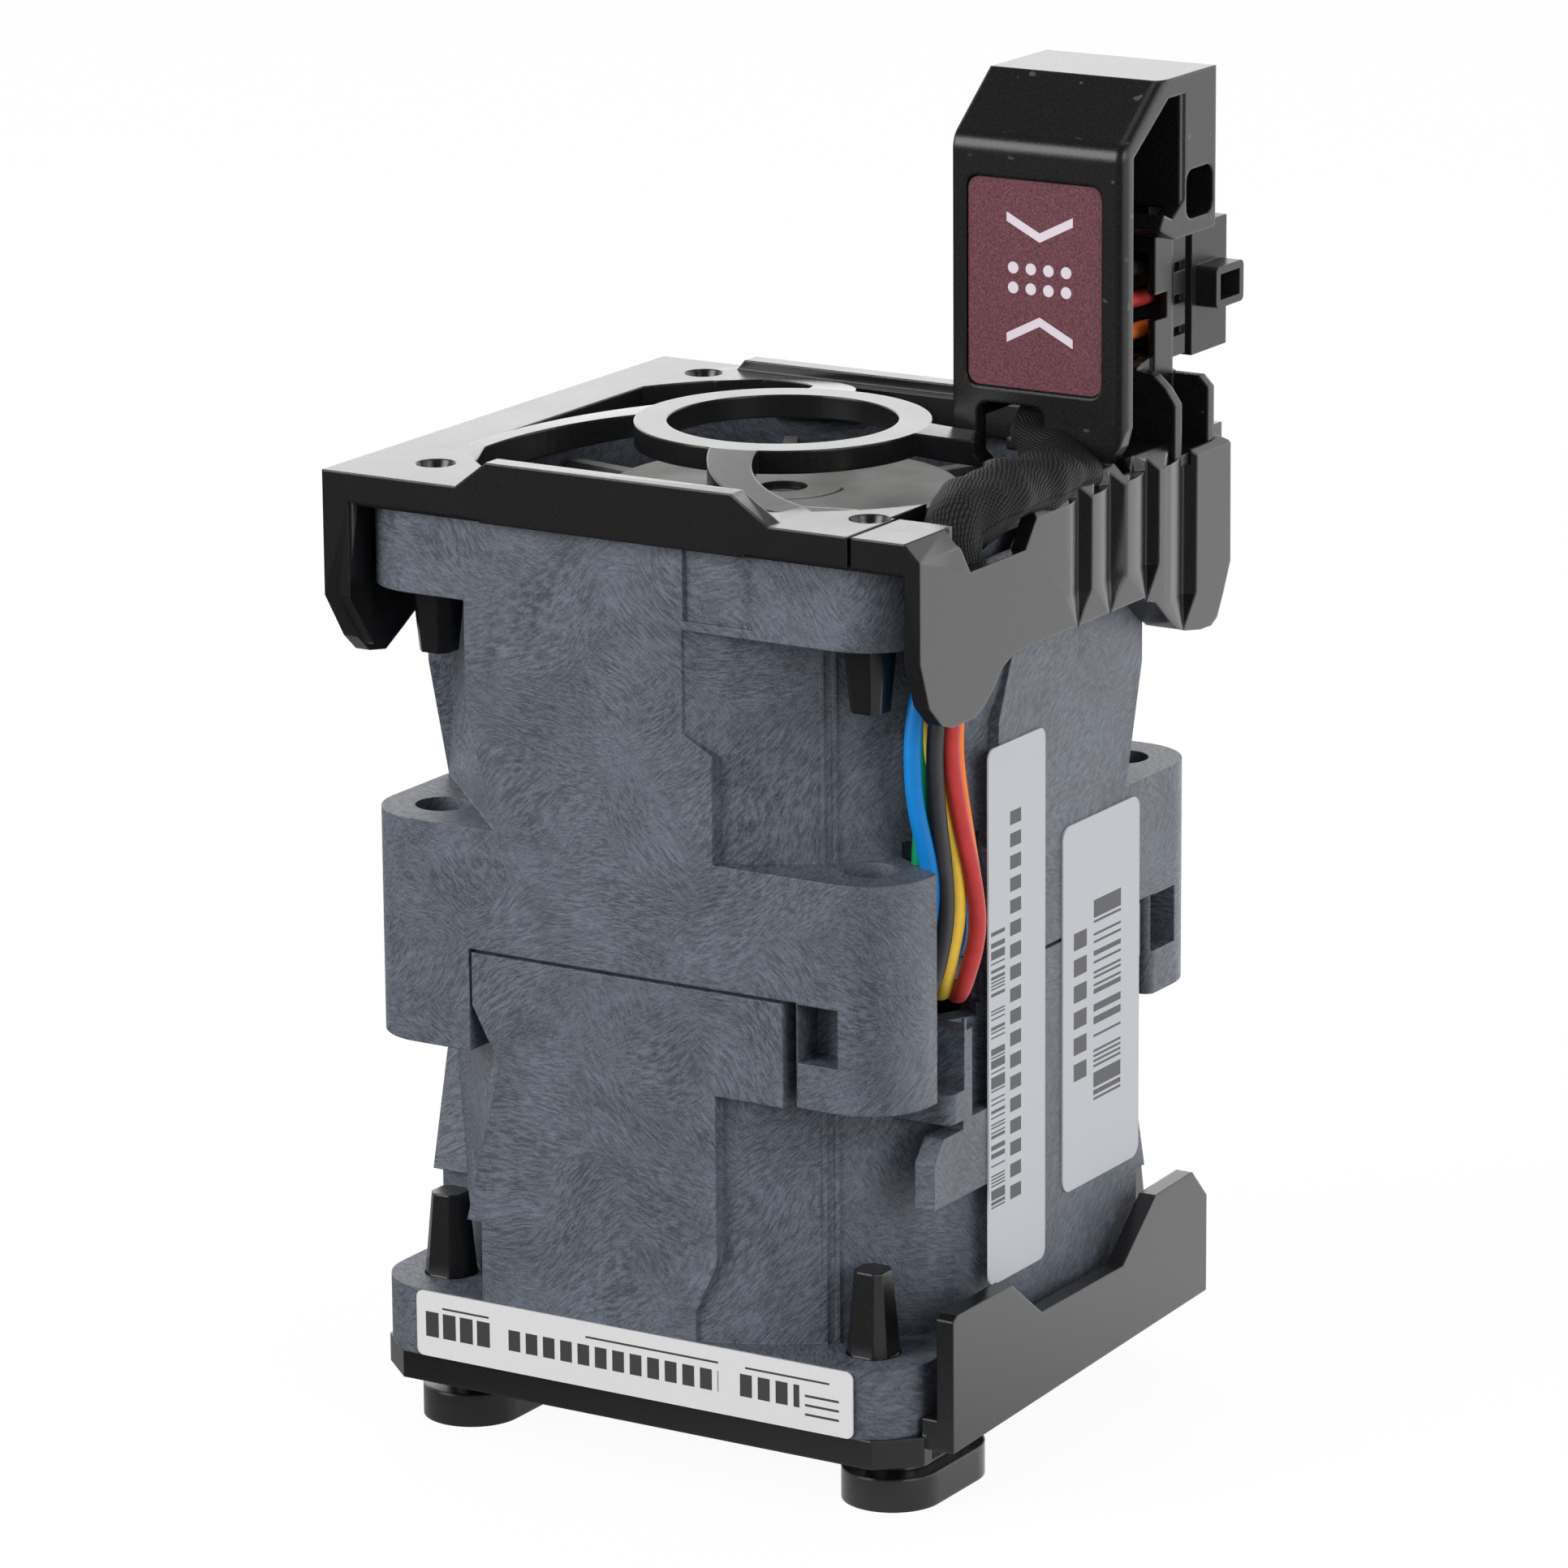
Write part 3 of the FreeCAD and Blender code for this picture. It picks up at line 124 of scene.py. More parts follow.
INSULATION = {
    "blue": ((0.0, 0.16, 0.47), (0.0, 0.20, 0.58)),
    "green": ((0.0, 0.17, 0.07), (0.0, 0.27, 0.11)),
    "yellow": ((0.80, 0.50, 0.04), (0.95, 0.66, 0.09)),
    "dark_grey": ((0.026, 0.025, 0.027), (0.040, 0.038, 0.041)),
    "red": ((0.42, 0.025, 0.025), (0.55, 0.055, 0.05)),
    "orange": ((0.85, 0.16, 0.02), (0.95, 0.25, 0.04)),
    "light_grey": ((0.36, 0.37, 0.35), (0.48, 0.49, 0.46))}
# Bare metals: dark end, light end, roughness and how much the lines are squeezed along each axis
METALS = {
    "sleeve_brass": ((0.5, 0.33, 0.12), (0.75, 0.52, 0.22), 0.25, (1, 1, 6)),
    "bearing_steel": ((0.4, 0.4, 0.41), (0.6, 0.6, 0.61), 0.2, (1, 1, 6)),
    "core_steel": ((0.15, 0.15, 0.16), (0.34, 0.34, 0.35), 0.4, (1, 1, 9)),
    "winding_copper": ((0.35, 0.10, 0.03), (0.72, 0.28, 0.10), 0.3, (1, 1, 8)),
    "yoke_steel": ((0.32, 0.32, 0.33), (0.5, 0.5, 0.51), 0.35, (1, 1, 5)),
    "shaft_steel": ((0.3, 0.3, 0.31), (0.52, 0.52, 0.54), 0.18, (5, 5, 1))}
# Plain solids: dark end, light end, roughness and scale of the mottling
SOLIDS = {
    "board_green": ((0.01, 0.10, 0.03), (0.02, 0.18, 0.07), 0.3, 1.0),
    "magnet": ((0.02, 0.02, 0.022), (0.06, 0.06, 0.065), 0.5, 2.0)}

# Fibres in the housings' plastic: how far slow waves bend the streaks in millimetres, streaks in each
# millimetre along each axis, and angles of the streaks in degrees, each with a shift of the pattern
WAVE_DEPTH = (6, 6, 6)
STREAK_STRETCH = (1.3, 1.3, 7.0)
STREAK_TURNS = (((4, -4, 0), 0.0), ((38, -38, 0), 17.0), ((-34, 34, 0), 41.0))

# Marks of the front label, in millimetres: middle height, pitch of the blocks, and for each row its ends,
# the part of the pitch that is inked, and its lower and upper edge
FRONT_LABEL_Z = -33.75
FRONT_PITCH = 1.32
FRONT_ROWS = [((-15.3, -10.1), 0.76, (-0.85, 0.85)), ((-8.9, 7.0), 0.68, (-0.75, 0.65)),
              ((8.6, 13.0), 0.68, (-0.75, 0.75))]
RULE_HEIGHTS = (1.12, 1.26)
RULE_ENDS = ((-14.0, -10.4), (-3.0, 7.0), (9.0, 15.2))
LINE_ENDS = (13.4, 15.9)
LINE_HEIGHTS = (-1.2, 0.6)
LINE_PITCH = 0.62
LINE_WIDTH = 0.16

# Marks of the two tall labels, in millimetres: ends in Z, pitch and edges in Y, for bars and for blocks,
# which also have the part of the pitch that is inked
TALL_BARS = [((-23.6, -5.4), 0.11, (-8.3, -6.55)), ((-19.9, -6.4), 0.17, (4.9, 8.5))]
TALL_BLOCKS = [((-23.6, 2.3), 1.45, 0.62, (-5.9, -4.5)), ((-18.0, -7.6), 1.75, 0.66, (2.3, 4.0))]
GAP_SHARE = 0.48

# Marks of the press label, in millimetres: its middle, dots, and chevrons by distance of the point,
# slope, half the width of the stroke and half its reach
PRESS_X = 15.8
PRESS_Z = 33.5
DOT_PITCH = 1.28
DOT_R = 0.38
CHEVRON_PLACE = 2.7
CHEVRON_SLOPE = 0.5
CHEVRON_STROKE = 0.3
CHEVRON_REACH = 2.4

# Chevron moulded into the connector's outer side, in millimetres
MARK_Y = 21.7
MARK_Z = 27.9
MARK_SLOPE = 0.9
MARK_SHIFT = 0.35
MARK_STROKE = 0.09
MARK_REACH = 0.62
MARK_SIDE_X = 19.2

# Shaft's end and the ring round it, by radius in millimetres: both are sunken and get painted shade,
# near-black
SHAFT_R = 0.75
HUB_RING = (1.1, 1.6)

# End frame, in millimetres: guard and the right wall's grooves. Each groove: the plain one's left edge,
# bottom and right edge, then the hollow one's left edge, tip and right edge in Y, and the tip's height.
# Overlaps keep the added and the cut bodies from ending flush. The hollow side's points lie at shares
# of its width, and its depth grows with a power of them. Edges sharper than the angle, in degrees, stay
# sharp, and vertices closer than the last value, in metres, are one
GUARD_R = 17.0
GUARD_EDGE_Z = 20.95
RING_R = 9.7
RING_LOW_Z = 22.4
UNDER_GUARD_Z = 19.0
ABOVE_FRAME_Z = 24.0
WALL_X = 22.5
LEG_Z = 21.3
PLAIN_DEPTH = 1.2
GROOVE_DEPTH = 0.8
GROOVE_BEND = 2.2
GROOVE_RUN_OUT = 2.2
GROOVE_BEYOND_TIP = 1.3
GROOVE_SHARES = (0.0, 0.25, 0.5, 0.75, 1.0)
GROOVES = [((-2.6, -1.35, -0.1), -3.05, -1.5, 0.3, 13.1), ((0.4, 2.7, 4.4), 0.75, 2.65, 4.5, 13.1),
           ((5.0, 7.6, 9.1), 5.1, 7.4, 9.1, 12.9), ((9.7, 12.6, 14.2), 9.7, 12.3, 14.1, 10.0)]
FILL_OVERLAP = 0.02
CUT_OVERLAP = 0.05
SHARP_ANGLE = 14.0
MERGE_DISTANCE = 1e-7

# Sleeve, in millimetres: middle line, then half width and half height at shares of its length, and
# its folds by depth, radians in each millimetre along, waves around and shift. The folds' depth rises
# from one end at this rate and falls towards the other. Rows lie along and columns around, and a
# radian round counts as so many millimetres in the weave
SLEEVE_POINTS = [(19.2, -12.4, 17.5), (19.3, -12.6, 20.7), (19.7, -10.0, 22.2), (19.85, -6.2, 22.5),
                 (19.85, -2.2, 22.4), (19.6, 1.6, 22.3), (18.7, 3.8, 22.1), (16.5, 4.9, 22.3),
                 (15.0, 7.0, 23.3), (14.0, 9.8, 24.9), (13.95, 10.4, 26.6)]
WIDTH_SHARES = (0.0, 0.12, 0.3, 0.5, 0.64, 0.76, 1.0)
SLEEVE_WIDTHS = (2.1, 2.2, 2.7, 2.6, 2.3, 1.85, 1.85)
HEIGHT_SHARES = (0.0, 0.15, 0.3, 0.5, 0.64, 0.76, 1.0)
SLEEVE_HEIGHTS = (2.05, 1.9, 1.65, 1.5, 1.4, 1.6, 1.85)
SLEEVE_FOLDS = ((0.16, 1.1, 2.0, 0.0), (0.10, 0.7, -3.0, 1.0), (0.05, 2.7, 4.0, 0.0))
FOLD_RISE = 8.0
FOLD_END = 1.02
SLEEVE_GRID = (240, 84)
THREAD_REACH = 2.2

# Wires, in millimetres and degrees: bundle, channel and terminals. In the sleeve's mouth, inside it and
# above it the bundle keeps only a part of its radius, so that it stays inside
TRUNK = (19.15, -12.25)
TRUNK_HEIGHTS = (14.5, 19.5)
BUNDLE_R = 1.3
BUNDLE_MIDDLE_R = 0.05
BUNDLE_START = -44.2
OUTER_WIRES = 7
MOUTH_SHARES = (0.9, 0.8, 0.4)
INSIDE_SHARES = (0.85, 0.35)
RISE_SHARE = 0.9
CHANNEL_ANGLE = -31.0
CHANNEL_REACH = (10.4, 18.2)
CHANNEL_LOW = -9.35
CHANNEL_HIGH = -6.65
WIRE_R = 0.55
WIRE_GRID = (300, 14)
TERMINAL_X = (13.35, 15.45, 17.55)
TERMINAL_Y = (13.7, 17.2)
TERMINAL_Z = (28.7, 30.8, 32.9)
# Each wire: place in the bundle, lane in the channel, height there, column and row of its terminal, and
# its loop from below as distance from the axis, step across the lane and height
WIRES = {
    "dark_grey": (0, -0.6, CHANNEL_LOW, 2, 2,
                  [(21.2, -1.5, -9.2), (22.9, -1.5, -7.4), (23.2, -0.8, -3.6), (23.2, -1.0, 0.0),
                   (23.2, -1.5, 3.6), (23.3, -1.8, 8.4)]),
    "red": (1, 1.9, CHANNEL_LOW, 2, 1,
            [(21.4, 0.9, -9.3), (23.0, 0.5, -8.1), (23.3, 1.4, -4.8), (23.2, 1.2, -1.6),
             (23.2, 0.0, 3.2), (23.3, -0.8, 8.3)]),
    "orange": (2, 1.8, CHANNEL_HIGH, 2, 0,
               [(20.6, 1.9, -6.6), (21.9, 2.1, -3.6), (22.0, 1.3, 0.8), (22.0, 0.5, 5.6),
                (22.0, 0.4, 8.5)]),
    "blue_second": (3, 0.55, CHANNEL_HIGH, 1, 0,
                    [(20.6, 0.6, -6.7), (22.0, 0.7, -5.9), (22.0, 0.8, -2.8), (21.9, 0.2, 2.0),
                     (21.8, -0.2, 8.0)]),
    "light_grey": (4, -0.6, CHANNEL_HIGH, 0, 0,
                   [(20.6, -1.0, -6.6), (22.0, -1.35, -5.2), (22.0, -1.25, -1.8), (21.8, -0.9, 3.0),
                    (21.7, -0.9, 8.0)]),
    "green": (5, -1.8, CHANNEL_HIGH, 0, 1,
              [(20.2, -1.8, -6.6), (21.6, -1.8, -4.0), (22.0, -2.1, 0.0), (22.0, -1.8, 3.8),
               (22.0, -1.75, 8.0)]),
    "blue": (6, -1.8, CHANNEL_LOW, 1, 2,
             [(20.6, -1.8, -9.2), (22.2, -1.4, -7.0), (22.6, -1.3, -3.4), (23.2, -2.1, 0.4),
              (23.2, -3.2, 4.6), (23.2, -3.25, 9.6)]),
    "yellow": (7, 0.65, CHANNEL_LOW, 1, 1,
               [(20.8, 0.3, -9.2), (22.2, -0.3, -7.2), (22.5, 0.45, -3.4), (22.4, 0.2, 0.4),
                (22.4, -0.7, 3.4), (22.4, -1.8, 8.2)])}


def add_camera():
    """Camera at the photograph's angle, turned a little about its own line of sight."""
    azimuth = math.radians(CAMERA_AZIMUTH)
    elevation = math.radians(CAMERA_ELEVATION)
    roll = math.radians(CAMERA_ROLL)
    back = Vector((math.sin(azimuth) * math.cos(elevation), -math.cos(azimuth) * math.cos(elevation),
                   math.sin(elevation)))
    level = Vector((math.cos(azimuth), math.sin(azimuth), 0.0))
    upright = back.cross(level)
    right = level * math.cos(roll) + upright * math.sin(roll)
    up = back.cross(right)
    data = bpy.data.cameras.new("camera")
    data.sensor_width = SENSOR
    data.lens = LENS
    data.clip_start = CLIP_START
    data.clip_end = CLIP_END
    camera = bpy.data.objects.new("camera", data)
    bpy.context.scene.collection.objects.link(camera)
    turn = Matrix((right, up, back)).transposed().to_4x4()
    camera.matrix_world = Matrix.Translation(CAMERA_TARGET + back * CAMERA_DISTANCE) @ turn
    bpy.context.scene.camera = camera


class Number:
    """A value that varies over a surface. Arithmetic on it adds Math nodes to its finish."""

    def __init__(self, finish, socket):
        self.finish = finish
        self.socket = socket

    def __add__(self, other):
        return self.finish.math("ADD", self, other)

    def __sub__(self, other):
        return self.finish.math("SUBTRACT", self, other)

    def __mul__(self, other):
        return self.finish.math("MULTIPLY", self, other)

    def __truediv__(self, other):
        return self.finish.math("DIVIDE", self, other)

    def __radd__(self, other):
        return self.finish.math("ADD", other, self)

    def __rsub__(self, other):
        return self.finish.math("SUBTRACT", other, self)

    def __rmul__(self, other):
        return self.finish.math("MULTIPLY", other, self)

    def __rtruediv__(self, other):
        return self.finish.math("DIVIDE", other, self)

    def __gt__(self, other):
        return self.finish.math("GREATER_THAN", self, other)

    def __lt__(self, other):
        return self.finish.math("LESS_THAN", self, other)

    def __mod__(self, other):
        return self.finish.math("FLOORED_MODULO", self, other)

    def __abs__(self):
        return self.finish.math("ABSOLUTE", self)

    def floor(self):
        return self.finish.math("FLOOR", self)

    def clamped(self):
        return self.finish.math("ADD", self, 0.0, clamp=True)

    def ramp(self, low, high):
        """0 below low, 1 above high and a straight slope between."""
        return self.finish.math("MULTIPLY", self - low, 1.0 / (high - low), clamp=True)


class Finish:
    """One material. node() adds any node; the other methods are short forms of it."""

    def __init__(self, name, roughness=0.5, metallic=0.0, specular=0.5):
        self.material = bpy.data.materials.new(name)
        self.material.use_nodes = True
        self.tree = self.material.node_tree
        self.shader = self.tree.nodes["Principled BSDF"]
        self.shader.inputs["Roughness"].default_value = roughness
        self.shader.inputs["Metallic"].default_value = metallic
        self.shader.inputs["Specular IOR Level"].default_value = specular
        place = self.node("ShaderNodeTexCoord").outputs["Object"]
        self.mm = self.vector("SCALE", place, Scale=1.0 / MM)
        self.normal = None

    def node(self, kind, settings=None, inputs=None):
        """Adds a node: first its settings, then the value or link of each socket."""
        made = self.tree.nodes.new(kind)
        for key, value in (settings or {}).items():
            setattr(made, key, value)
        for key, value in (inputs or {}).items():
            self.feed(made.inputs[key], value)
        return made

    def feed(self, socket, value):
        """Links a value that varies to a socket, or sets a fixed one there."""
        if isinstance(value, Number):
            value = value.socket
        if isinstance(value, bpy.types.NodeSocket):
            self.tree.links.new(value, socket)
        else:
            socket.default_value = value

    def math(self, operation, *values, clamp=False):
        settings = {"operation": operation, "use_clamp": clamp}
        return Number(self, self.node("ShaderNodeMath", settings, dict(enumerate(values))).outputs[0])

    def vector(self, operation, *values, **named):
        inputs = dict(enumerate(values))
        inputs.update(named)
        return self.node("ShaderNodeVectorMath", {"operation": operation}, inputs).outputs[0]

    def axis(self, name):
        """Place along one axis in millimetres."""
        return Number(self, self.node("ShaderNodeSeparateXYZ", None, {0: self.mm}).outputs[name])

    def attribute(self, name):
        """Value that the mesh carries under this name."""
        return Number(self, self.node("ShaderNodeAttribute", {"attribute_name": name}).outputs["Fac"])

    def turned(self, source, angles):
        turns = tuple(math.radians(angle) for angle in angles)
        return self.node("ShaderNodeMapping", None, {"Vector": source, "Rotation": turns}).outputs[0]

    def shifted(self, source, shift):
        return self.vector("ADD", source, shift)

    def distance(self, across, up):
        """Distance from the point where both values are 0."""
        return self.math("SQRT", across * across + up * up)

    def noise(self, scale, detail=2.0, stretch=(1, 1, 1), source=None, warp=0.0, roughness=0.5):
        """Noise from 0 to 1, with scale in repeats per millimetre and each axis stretched as given."""
        where = self.vector("MULTIPLY", source or self.mm, stretch)
        made = self.node("ShaderNodeTexNoise", None, {"Vector": where, "Scale": scale, "Detail": detail,
                                                      "Roughness": roughness, "Distortion": warp})
        return Number(self, made.outputs["Fac"])

    def random(self, number):
        """A random number from 0 to 1 for each whole value."""
        made = self.node("ShaderNodeTexWhiteNoise", {"noise_dimensions": "1D"}, {"W": number})
        return Number(self, made.outputs["Value"])

    def mix(self, factor, low, high):
        """Colour that goes from low to high as factor goes from 0 to 1."""
        ends = [(*color, 1.0) if isinstance(color, tuple) else color for color in (low, high)]
        inputs = {0: factor, 6: ends[0], 7: ends[1]}
        return self.node("ShaderNodeMix", {"data_type": "RGBA"}, inputs).outputs[2]

    def color(self, value):
        self.feed(self.shader.inputs["Base Color"], value)

    def gloss(self, value):
        self.feed(self.shader.inputs["Roughness"], value)

    def round_edges(self, radius):
        """Light rolls over sharp edges as if they were rounded by this radius in millimetres."""
        self.normal = self.node("ShaderNodeBevel", {"samples": 6}, {"Radius": radius * MM}).outputs[0]

    def bump(self, height, depth):
        """Relief of height 0 to 1, with its depth in millimetres."""
        inputs = {"Height": height, "Strength": 1.0, "Distance": depth * MM}
        if self.normal is not None:
            inputs["Normal"] = self.normal
        self.normal = self.node("ShaderNodeBump", None, inputs).outputs[0]

    def done(self):
        if self.normal is not None:
            self.feed(self.shader.inputs["Normal"], self.normal)
        return self.material


def band(value, low, high):
    """1 where the value lies between low and high."""
    return (value > low) * (value < high)


def flow_lines(finish):
    """Height of the fine marks that fibres leave in moulded plastic: streaks in three directions that
    take turns over the surface, bent by slow waves."""
    wave = finish.node("ShaderNodeTexNoise", None, {"Vector": finish.mm, "Scale": 0.09, "Detail": 1.0})
    bend = finish.vector("MULTIPLY_ADD", wave.outputs["Color"], WAVE_DEPTH, finish.mm)
    streaks = []
    for angles, seed in STREAK_TURNS:
        turned = finish.turned(finish.shifted(bend, (seed, seed, seed)), angles)
        streaks.append(finish.noise(1.0, detail=3.0, stretch=STREAK_STRETCH, source=turned, roughness=0.65))
    first = finish.noise(0.11, detail=1.0).ramp(0.42, 0.58)
    elsewhere = finish.shifted(finish.mm, (50, 20, 90))
    second = finish.noise(0.09, detail=1.0, source=elsewhere).ramp(0.44, 0.56)
    level = streaks[0] * (1 - first) + streaks[1] * first
    return level * (1 - second) + streaks[2] * second


def housing_plastic():
    """Blue-grey plastic with short fibres: fine streaks, pale specks and slow cloudy patches."""
    finish = Finish("housing_plastic", specular=0.45)
    streaks = flow_lines(finish)
    grain = finish.noise(8.5, detail=3.0, roughness=0.75)
    cloud = finish.noise(0.16, detail=3.0, warp=1.0)
    tone = streaks.ramp(0.39, 0.63) * 0.5 + grain.ramp(0.40, 0.64) * 0.32 + cloud.ramp(0.35, 0.65) * 0.2
    finish.color(finish.mix(tone.clamped(), *SHADES["housing"]))
    finish.gloss(0.5 - streaks * 0.16 + grain * 0.1)
    finish.round_edges(0.12)
    finish.bump(streaks * 0.6 + grain * 0.6, depth=0.045)
    return finish.done()


def frame_plastic():
    """Black satin plastic with a fine even grain."""
    finish = Finish("frame_plastic")
    grain = finish.noise(7.0)
    cloud = finish.noise(0.25)
    finish.color(finish.mix(grain.ramp(0.35, 0.75), *SHADES["frame"]))
    finish.gloss(0.2 + grain * 0.05 + cloud * 0.06)
    finish.round_edges(0.2)
    finish.bump(grain, depth=0.006)
    return finish.done()


def arm_plastic():
    """Black satin plastic, duller than the frame's, with a few pale specks of dust."""
    finish = Finish("arm_plastic", specular=0.32)
    grain = finish.noise(9.0)
    specks = finish.noise(1.3, detail=0.0).ramp(0.80, 0.84)
    base = finish.mix(grain.ramp(0.35, 0.75), *SHADES["arm"])
    finish.color(finish.mix(specks * 0.25, base, DUST))
    finish.gloss(0.24 + grain * 0.06)
    finish.round_edges(0.28)
    finish.bump(grain, depth=0.004)
    return finish.done()


def foot_rubber():
    """Smooth black rubber with faint cloudy wear."""
    finish = Finish("foot_rubber")
    cloud = finish.noise(0.5, detail=3.0)
    finish.color(finish.mix(cloud, *SHADES["foot"]))
    finish.gloss(0.2 + cloud * 0.14)
    finish.round_edges(0.3)
    return finish.done()


def connector_plastic():
    """Black connector plastic with a chevron that marks the first contact on its outer side."""
    finish = Finish("connector_plastic", specular=0.26)
    grain = finish.noise(8.0)
    finish.color(finish.mix(grain, *SHADES["connector"]))
    finish.gloss(0.3 + grain * 0.12)
    finish.round_edges(0.12)
    across = finish.axis("Y") - MARK_Y
    along = abs(finish.axis("Z") - MARK_Z)
    stroke = (abs(across + along * MARK_SLOPE - MARK_SHIFT) < MARK_STROKE) * (along < MARK_REACH)
    side = finish.axis("X") > MARK_SIDE_X
    finish.bump(grain * 0.05 - stroke * side, depth=0.12)
    return finish.done()


def terminal_metal():
    """Tin-plated spring contacts with drawn lines."""
    finish = Finish("terminal_metal", metallic=1.0)
    lines = finish.noise(6.0, stretch=(6, 1, 6))
    finish.color(finish.mix(lines, *SHADES["terminal"]))
    finish.gloss(0.22 + lines * 0.2)
    finish.bump(lines, depth=0.004)
    return finish.done()


def insulation(name, dark, light):
    """Smooth extruded wire insulation, slightly mottled."""
    finish = Finish(name, specular=0.3)
    cloud = finish.noise(1.2)
    finish.color(finish.mix(cloud, dark, light))
    finish.gloss(0.38 + cloud * 0.12)
    finish.bump(cloud, depth=0.01)
    return finish.done()


def paper(finish, shades, ink, ink_color):
    """Matt label stock with faint fibres, and ink where the mask is 1."""
    fibre = finish.noise(4.0, detail=4.0, roughness=0.7)
    finish.color(finish.mix(ink, finish.mix(fibre, *shades), ink_color))
    finish.gloss(0.52 - ink * 0.08 + fibre * 0.06)
    finish.bump(fibre, depth=0.006)
    return finish.done()


def blocks(along, ends, pitch, share):
    """Row of equal blocks along a line: generic marks in place of letters."""
    return band(along, *ends) * ((along - ends[0]) % pitch < pitch * share)


def bars(finish, along, ends, pitch):
    """Bars and gaps of random widths, all whole numbers of one pitch."""
    cell = ((along - ends[0]) / pitch).floor()
    return band(along, *ends) * (finish.random(cell) > GAP_SHARE)


def label_front():
    """Front label: three rows of blocks, a thin rule and three short lines, all generic marks."""
    finish = Finish("label_front", specular=0.4)
    across = finish.axis("X")
    up = finish.axis("Z") - FRONT_LABEL_Z
    heavy, light, last = (blocks(across, ends, FRONT_PITCH, share) * band(up, *edges)
                          for ends, share, edges in FRONT_ROWS)
    left, middle, right = (band(across, *ends) for ends in RULE_ENDS)
    rule = band(up, *RULE_HEIGHTS) * (left + middle + right)
    lines = ((up - LINE_HEIGHTS[0]) % LINE_PITCH < LINE_WIDTH) * band(up, *LINE_HEIGHTS)
    ink = (heavy + light + last + rule + lines * band(across, *LINE_ENDS)).clamped()
    return paper(finish, SHADES["front_paper"], ink, FRONT_INK)


def label_side():
    """The two tall labels: bars of random widths beside a row of blocks, all generic marks."""
    finish = Finish("label_side", specular=0.4)
    across = finish.axis("Y")
    up = finish.axis("Z")
    ink = [bars(finish, up, ends, pitch) * band(across, *edges) for ends, pitch, edges in TALL_BARS]
    ink += [blocks(up, ends, pitch, share) * band(across, *edges)
            for ends, pitch, share, edges in TALL_BLOCKS]
    return paper(finish, SHADES["side_paper"], sum(ink).clamped(), SIDE_INK)


def label_maroon():
    """Press label: maroon with pale grain, two rows of four dots between two chevrons."""
    finish = Finish("label_maroon", specular=0.2)
    grain = finish.noise(7.0, detail=3.0, roughness=0.8)
    across = finish.axis("X") - PRESS_X
    up = finish.axis("Z") - PRESS_Z
    spot_x = (across + 2 * DOT_PITCH) % DOT_PITCH - DOT_PITCH / 2
    spot_z = (up + DOT_PITCH) % DOT_PITCH - DOT_PITCH / 2
    dots = finish.distance(spot_x, spot_z) < DOT_R
    dots = dots * band(across, -2 * DOT_PITCH, 2 * DOT_PITCH) * band(up, -DOT_PITCH, DOT_PITCH)
    rise = abs(up) - CHEVRON_PLACE - abs(across) * CHEVRON_SLOPE
    chevrons = (abs(rise) < CHEVRON_STROKE) * (abs(across) < CHEVRON_REACH)
    base = finish.mix(grain.ramp(0.38, 0.72), *SHADES["press_label"])
    finish.color(finish.mix((dots + chevrons).clamped(), base, PRESS_INK))
    finish.gloss(0.42 + grain * 0.1)
    finish.bump(grain, depth=0.012)
    return finish.done()


def sleeve_fabric():
    """Tightly woven black tape: fine diagonal ribs with slightly varied threads."""
    finish = Finish("sleeve_fabric", specular=0.15)
    along = finish.attribute("along")
    around = finish.attribute("around")
    wander = finish.noise(0.8) * 0.5
    rib = finish.math("SINE", (along * 0.5 + around + wander) * 24.0) * 0.5 + 0.5
    thread = finish.math("SINE", (along - around * 0.4 + wander) * 22.0) * 0.5 + 0.5
    weave = rib * (thread * 0.6 + 0.4)
    finish.color(finish.mix(weave, *SHADES["sleeve"]))
    finish.gloss(0.66 - weave * 0.12)
    finish.bump(weave, depth=0.05)
    return finish.done()


def impeller_plastic():
    """Grey plastic with a coarse grain, sunken at the shaft's end and in a ring round it, where painted shade
    makes it near-black.
    """
    finish = Finish("impeller_plastic")
    grain = finish.noise(5.0, detail=3.0, roughness=0.7)
    cloud = finish.noise(0.5)
    radius = finish.distance(finish.axis("X"), finish.axis("Y"))
    shaded_hollows = band(radius, *HUB_RING) + (radius < SHAFT_R)
    plastic = finish.mix(grain * 0.6 + cloud * 0.4, *SHADES["impeller"])
    # Painted shade: the sunken shaft's end and ring are coloured near-black
    finish.color(finish.mix(shaded_hollows, plastic, HOLLOW_SHADE))
    finish.gloss(0.42 + grain * 0.15)
    finish.round_edges(0.15)
    finish.bump(grain * 0.12 - shaded_hollows, depth=0.25)
    return finish.done()


def metal(name, dark, light, roughness, stretch):
    """Bare metal with lines along one direction."""
    finish = Finish(name, metallic=1.0)
    lines = finish.noise(3.0, detail=3.0, stretch=stretch)
    finish.color(finish.mix(lines, dark, light))
    finish.gloss(roughness + lines * 0.15)
    finish.bump(lines, depth=0.004)
    return finish.done()


def solid(name, dark, light, roughness, scale):
    """Plain non-metal with mottled colour and a matching grain."""
    finish = Finish(name)
    cloud = finish.noise(scale, detail=3.0)
    finish.color(finish.mix(cloud, dark, light))
    finish.gloss(roughness + cloud * 0.1)
    finish.bump(cloud, depth=0.01)
    return finish.done()


def make_finishes():
    """All finishes, under the names of the record's material slots."""
    own = (housing_plastic, frame_plastic, arm_plastic, foot_rubber, connector_plastic, terminal_metal,
           label_front, label_side, label_maroon, sleeve_fabric, impeller_plastic)
    made = {make.__name__: make() for make in own}
    made.update({name: metal(name, *values) for name, values in METALS.items()})
    made.update({name: solid(name, *values) for name, values in SOLIDS.items()})
    for color, ends in INSULATION.items():
        made["insulation_" + color] = insulation("insulation_" + color, *ends)
    return made


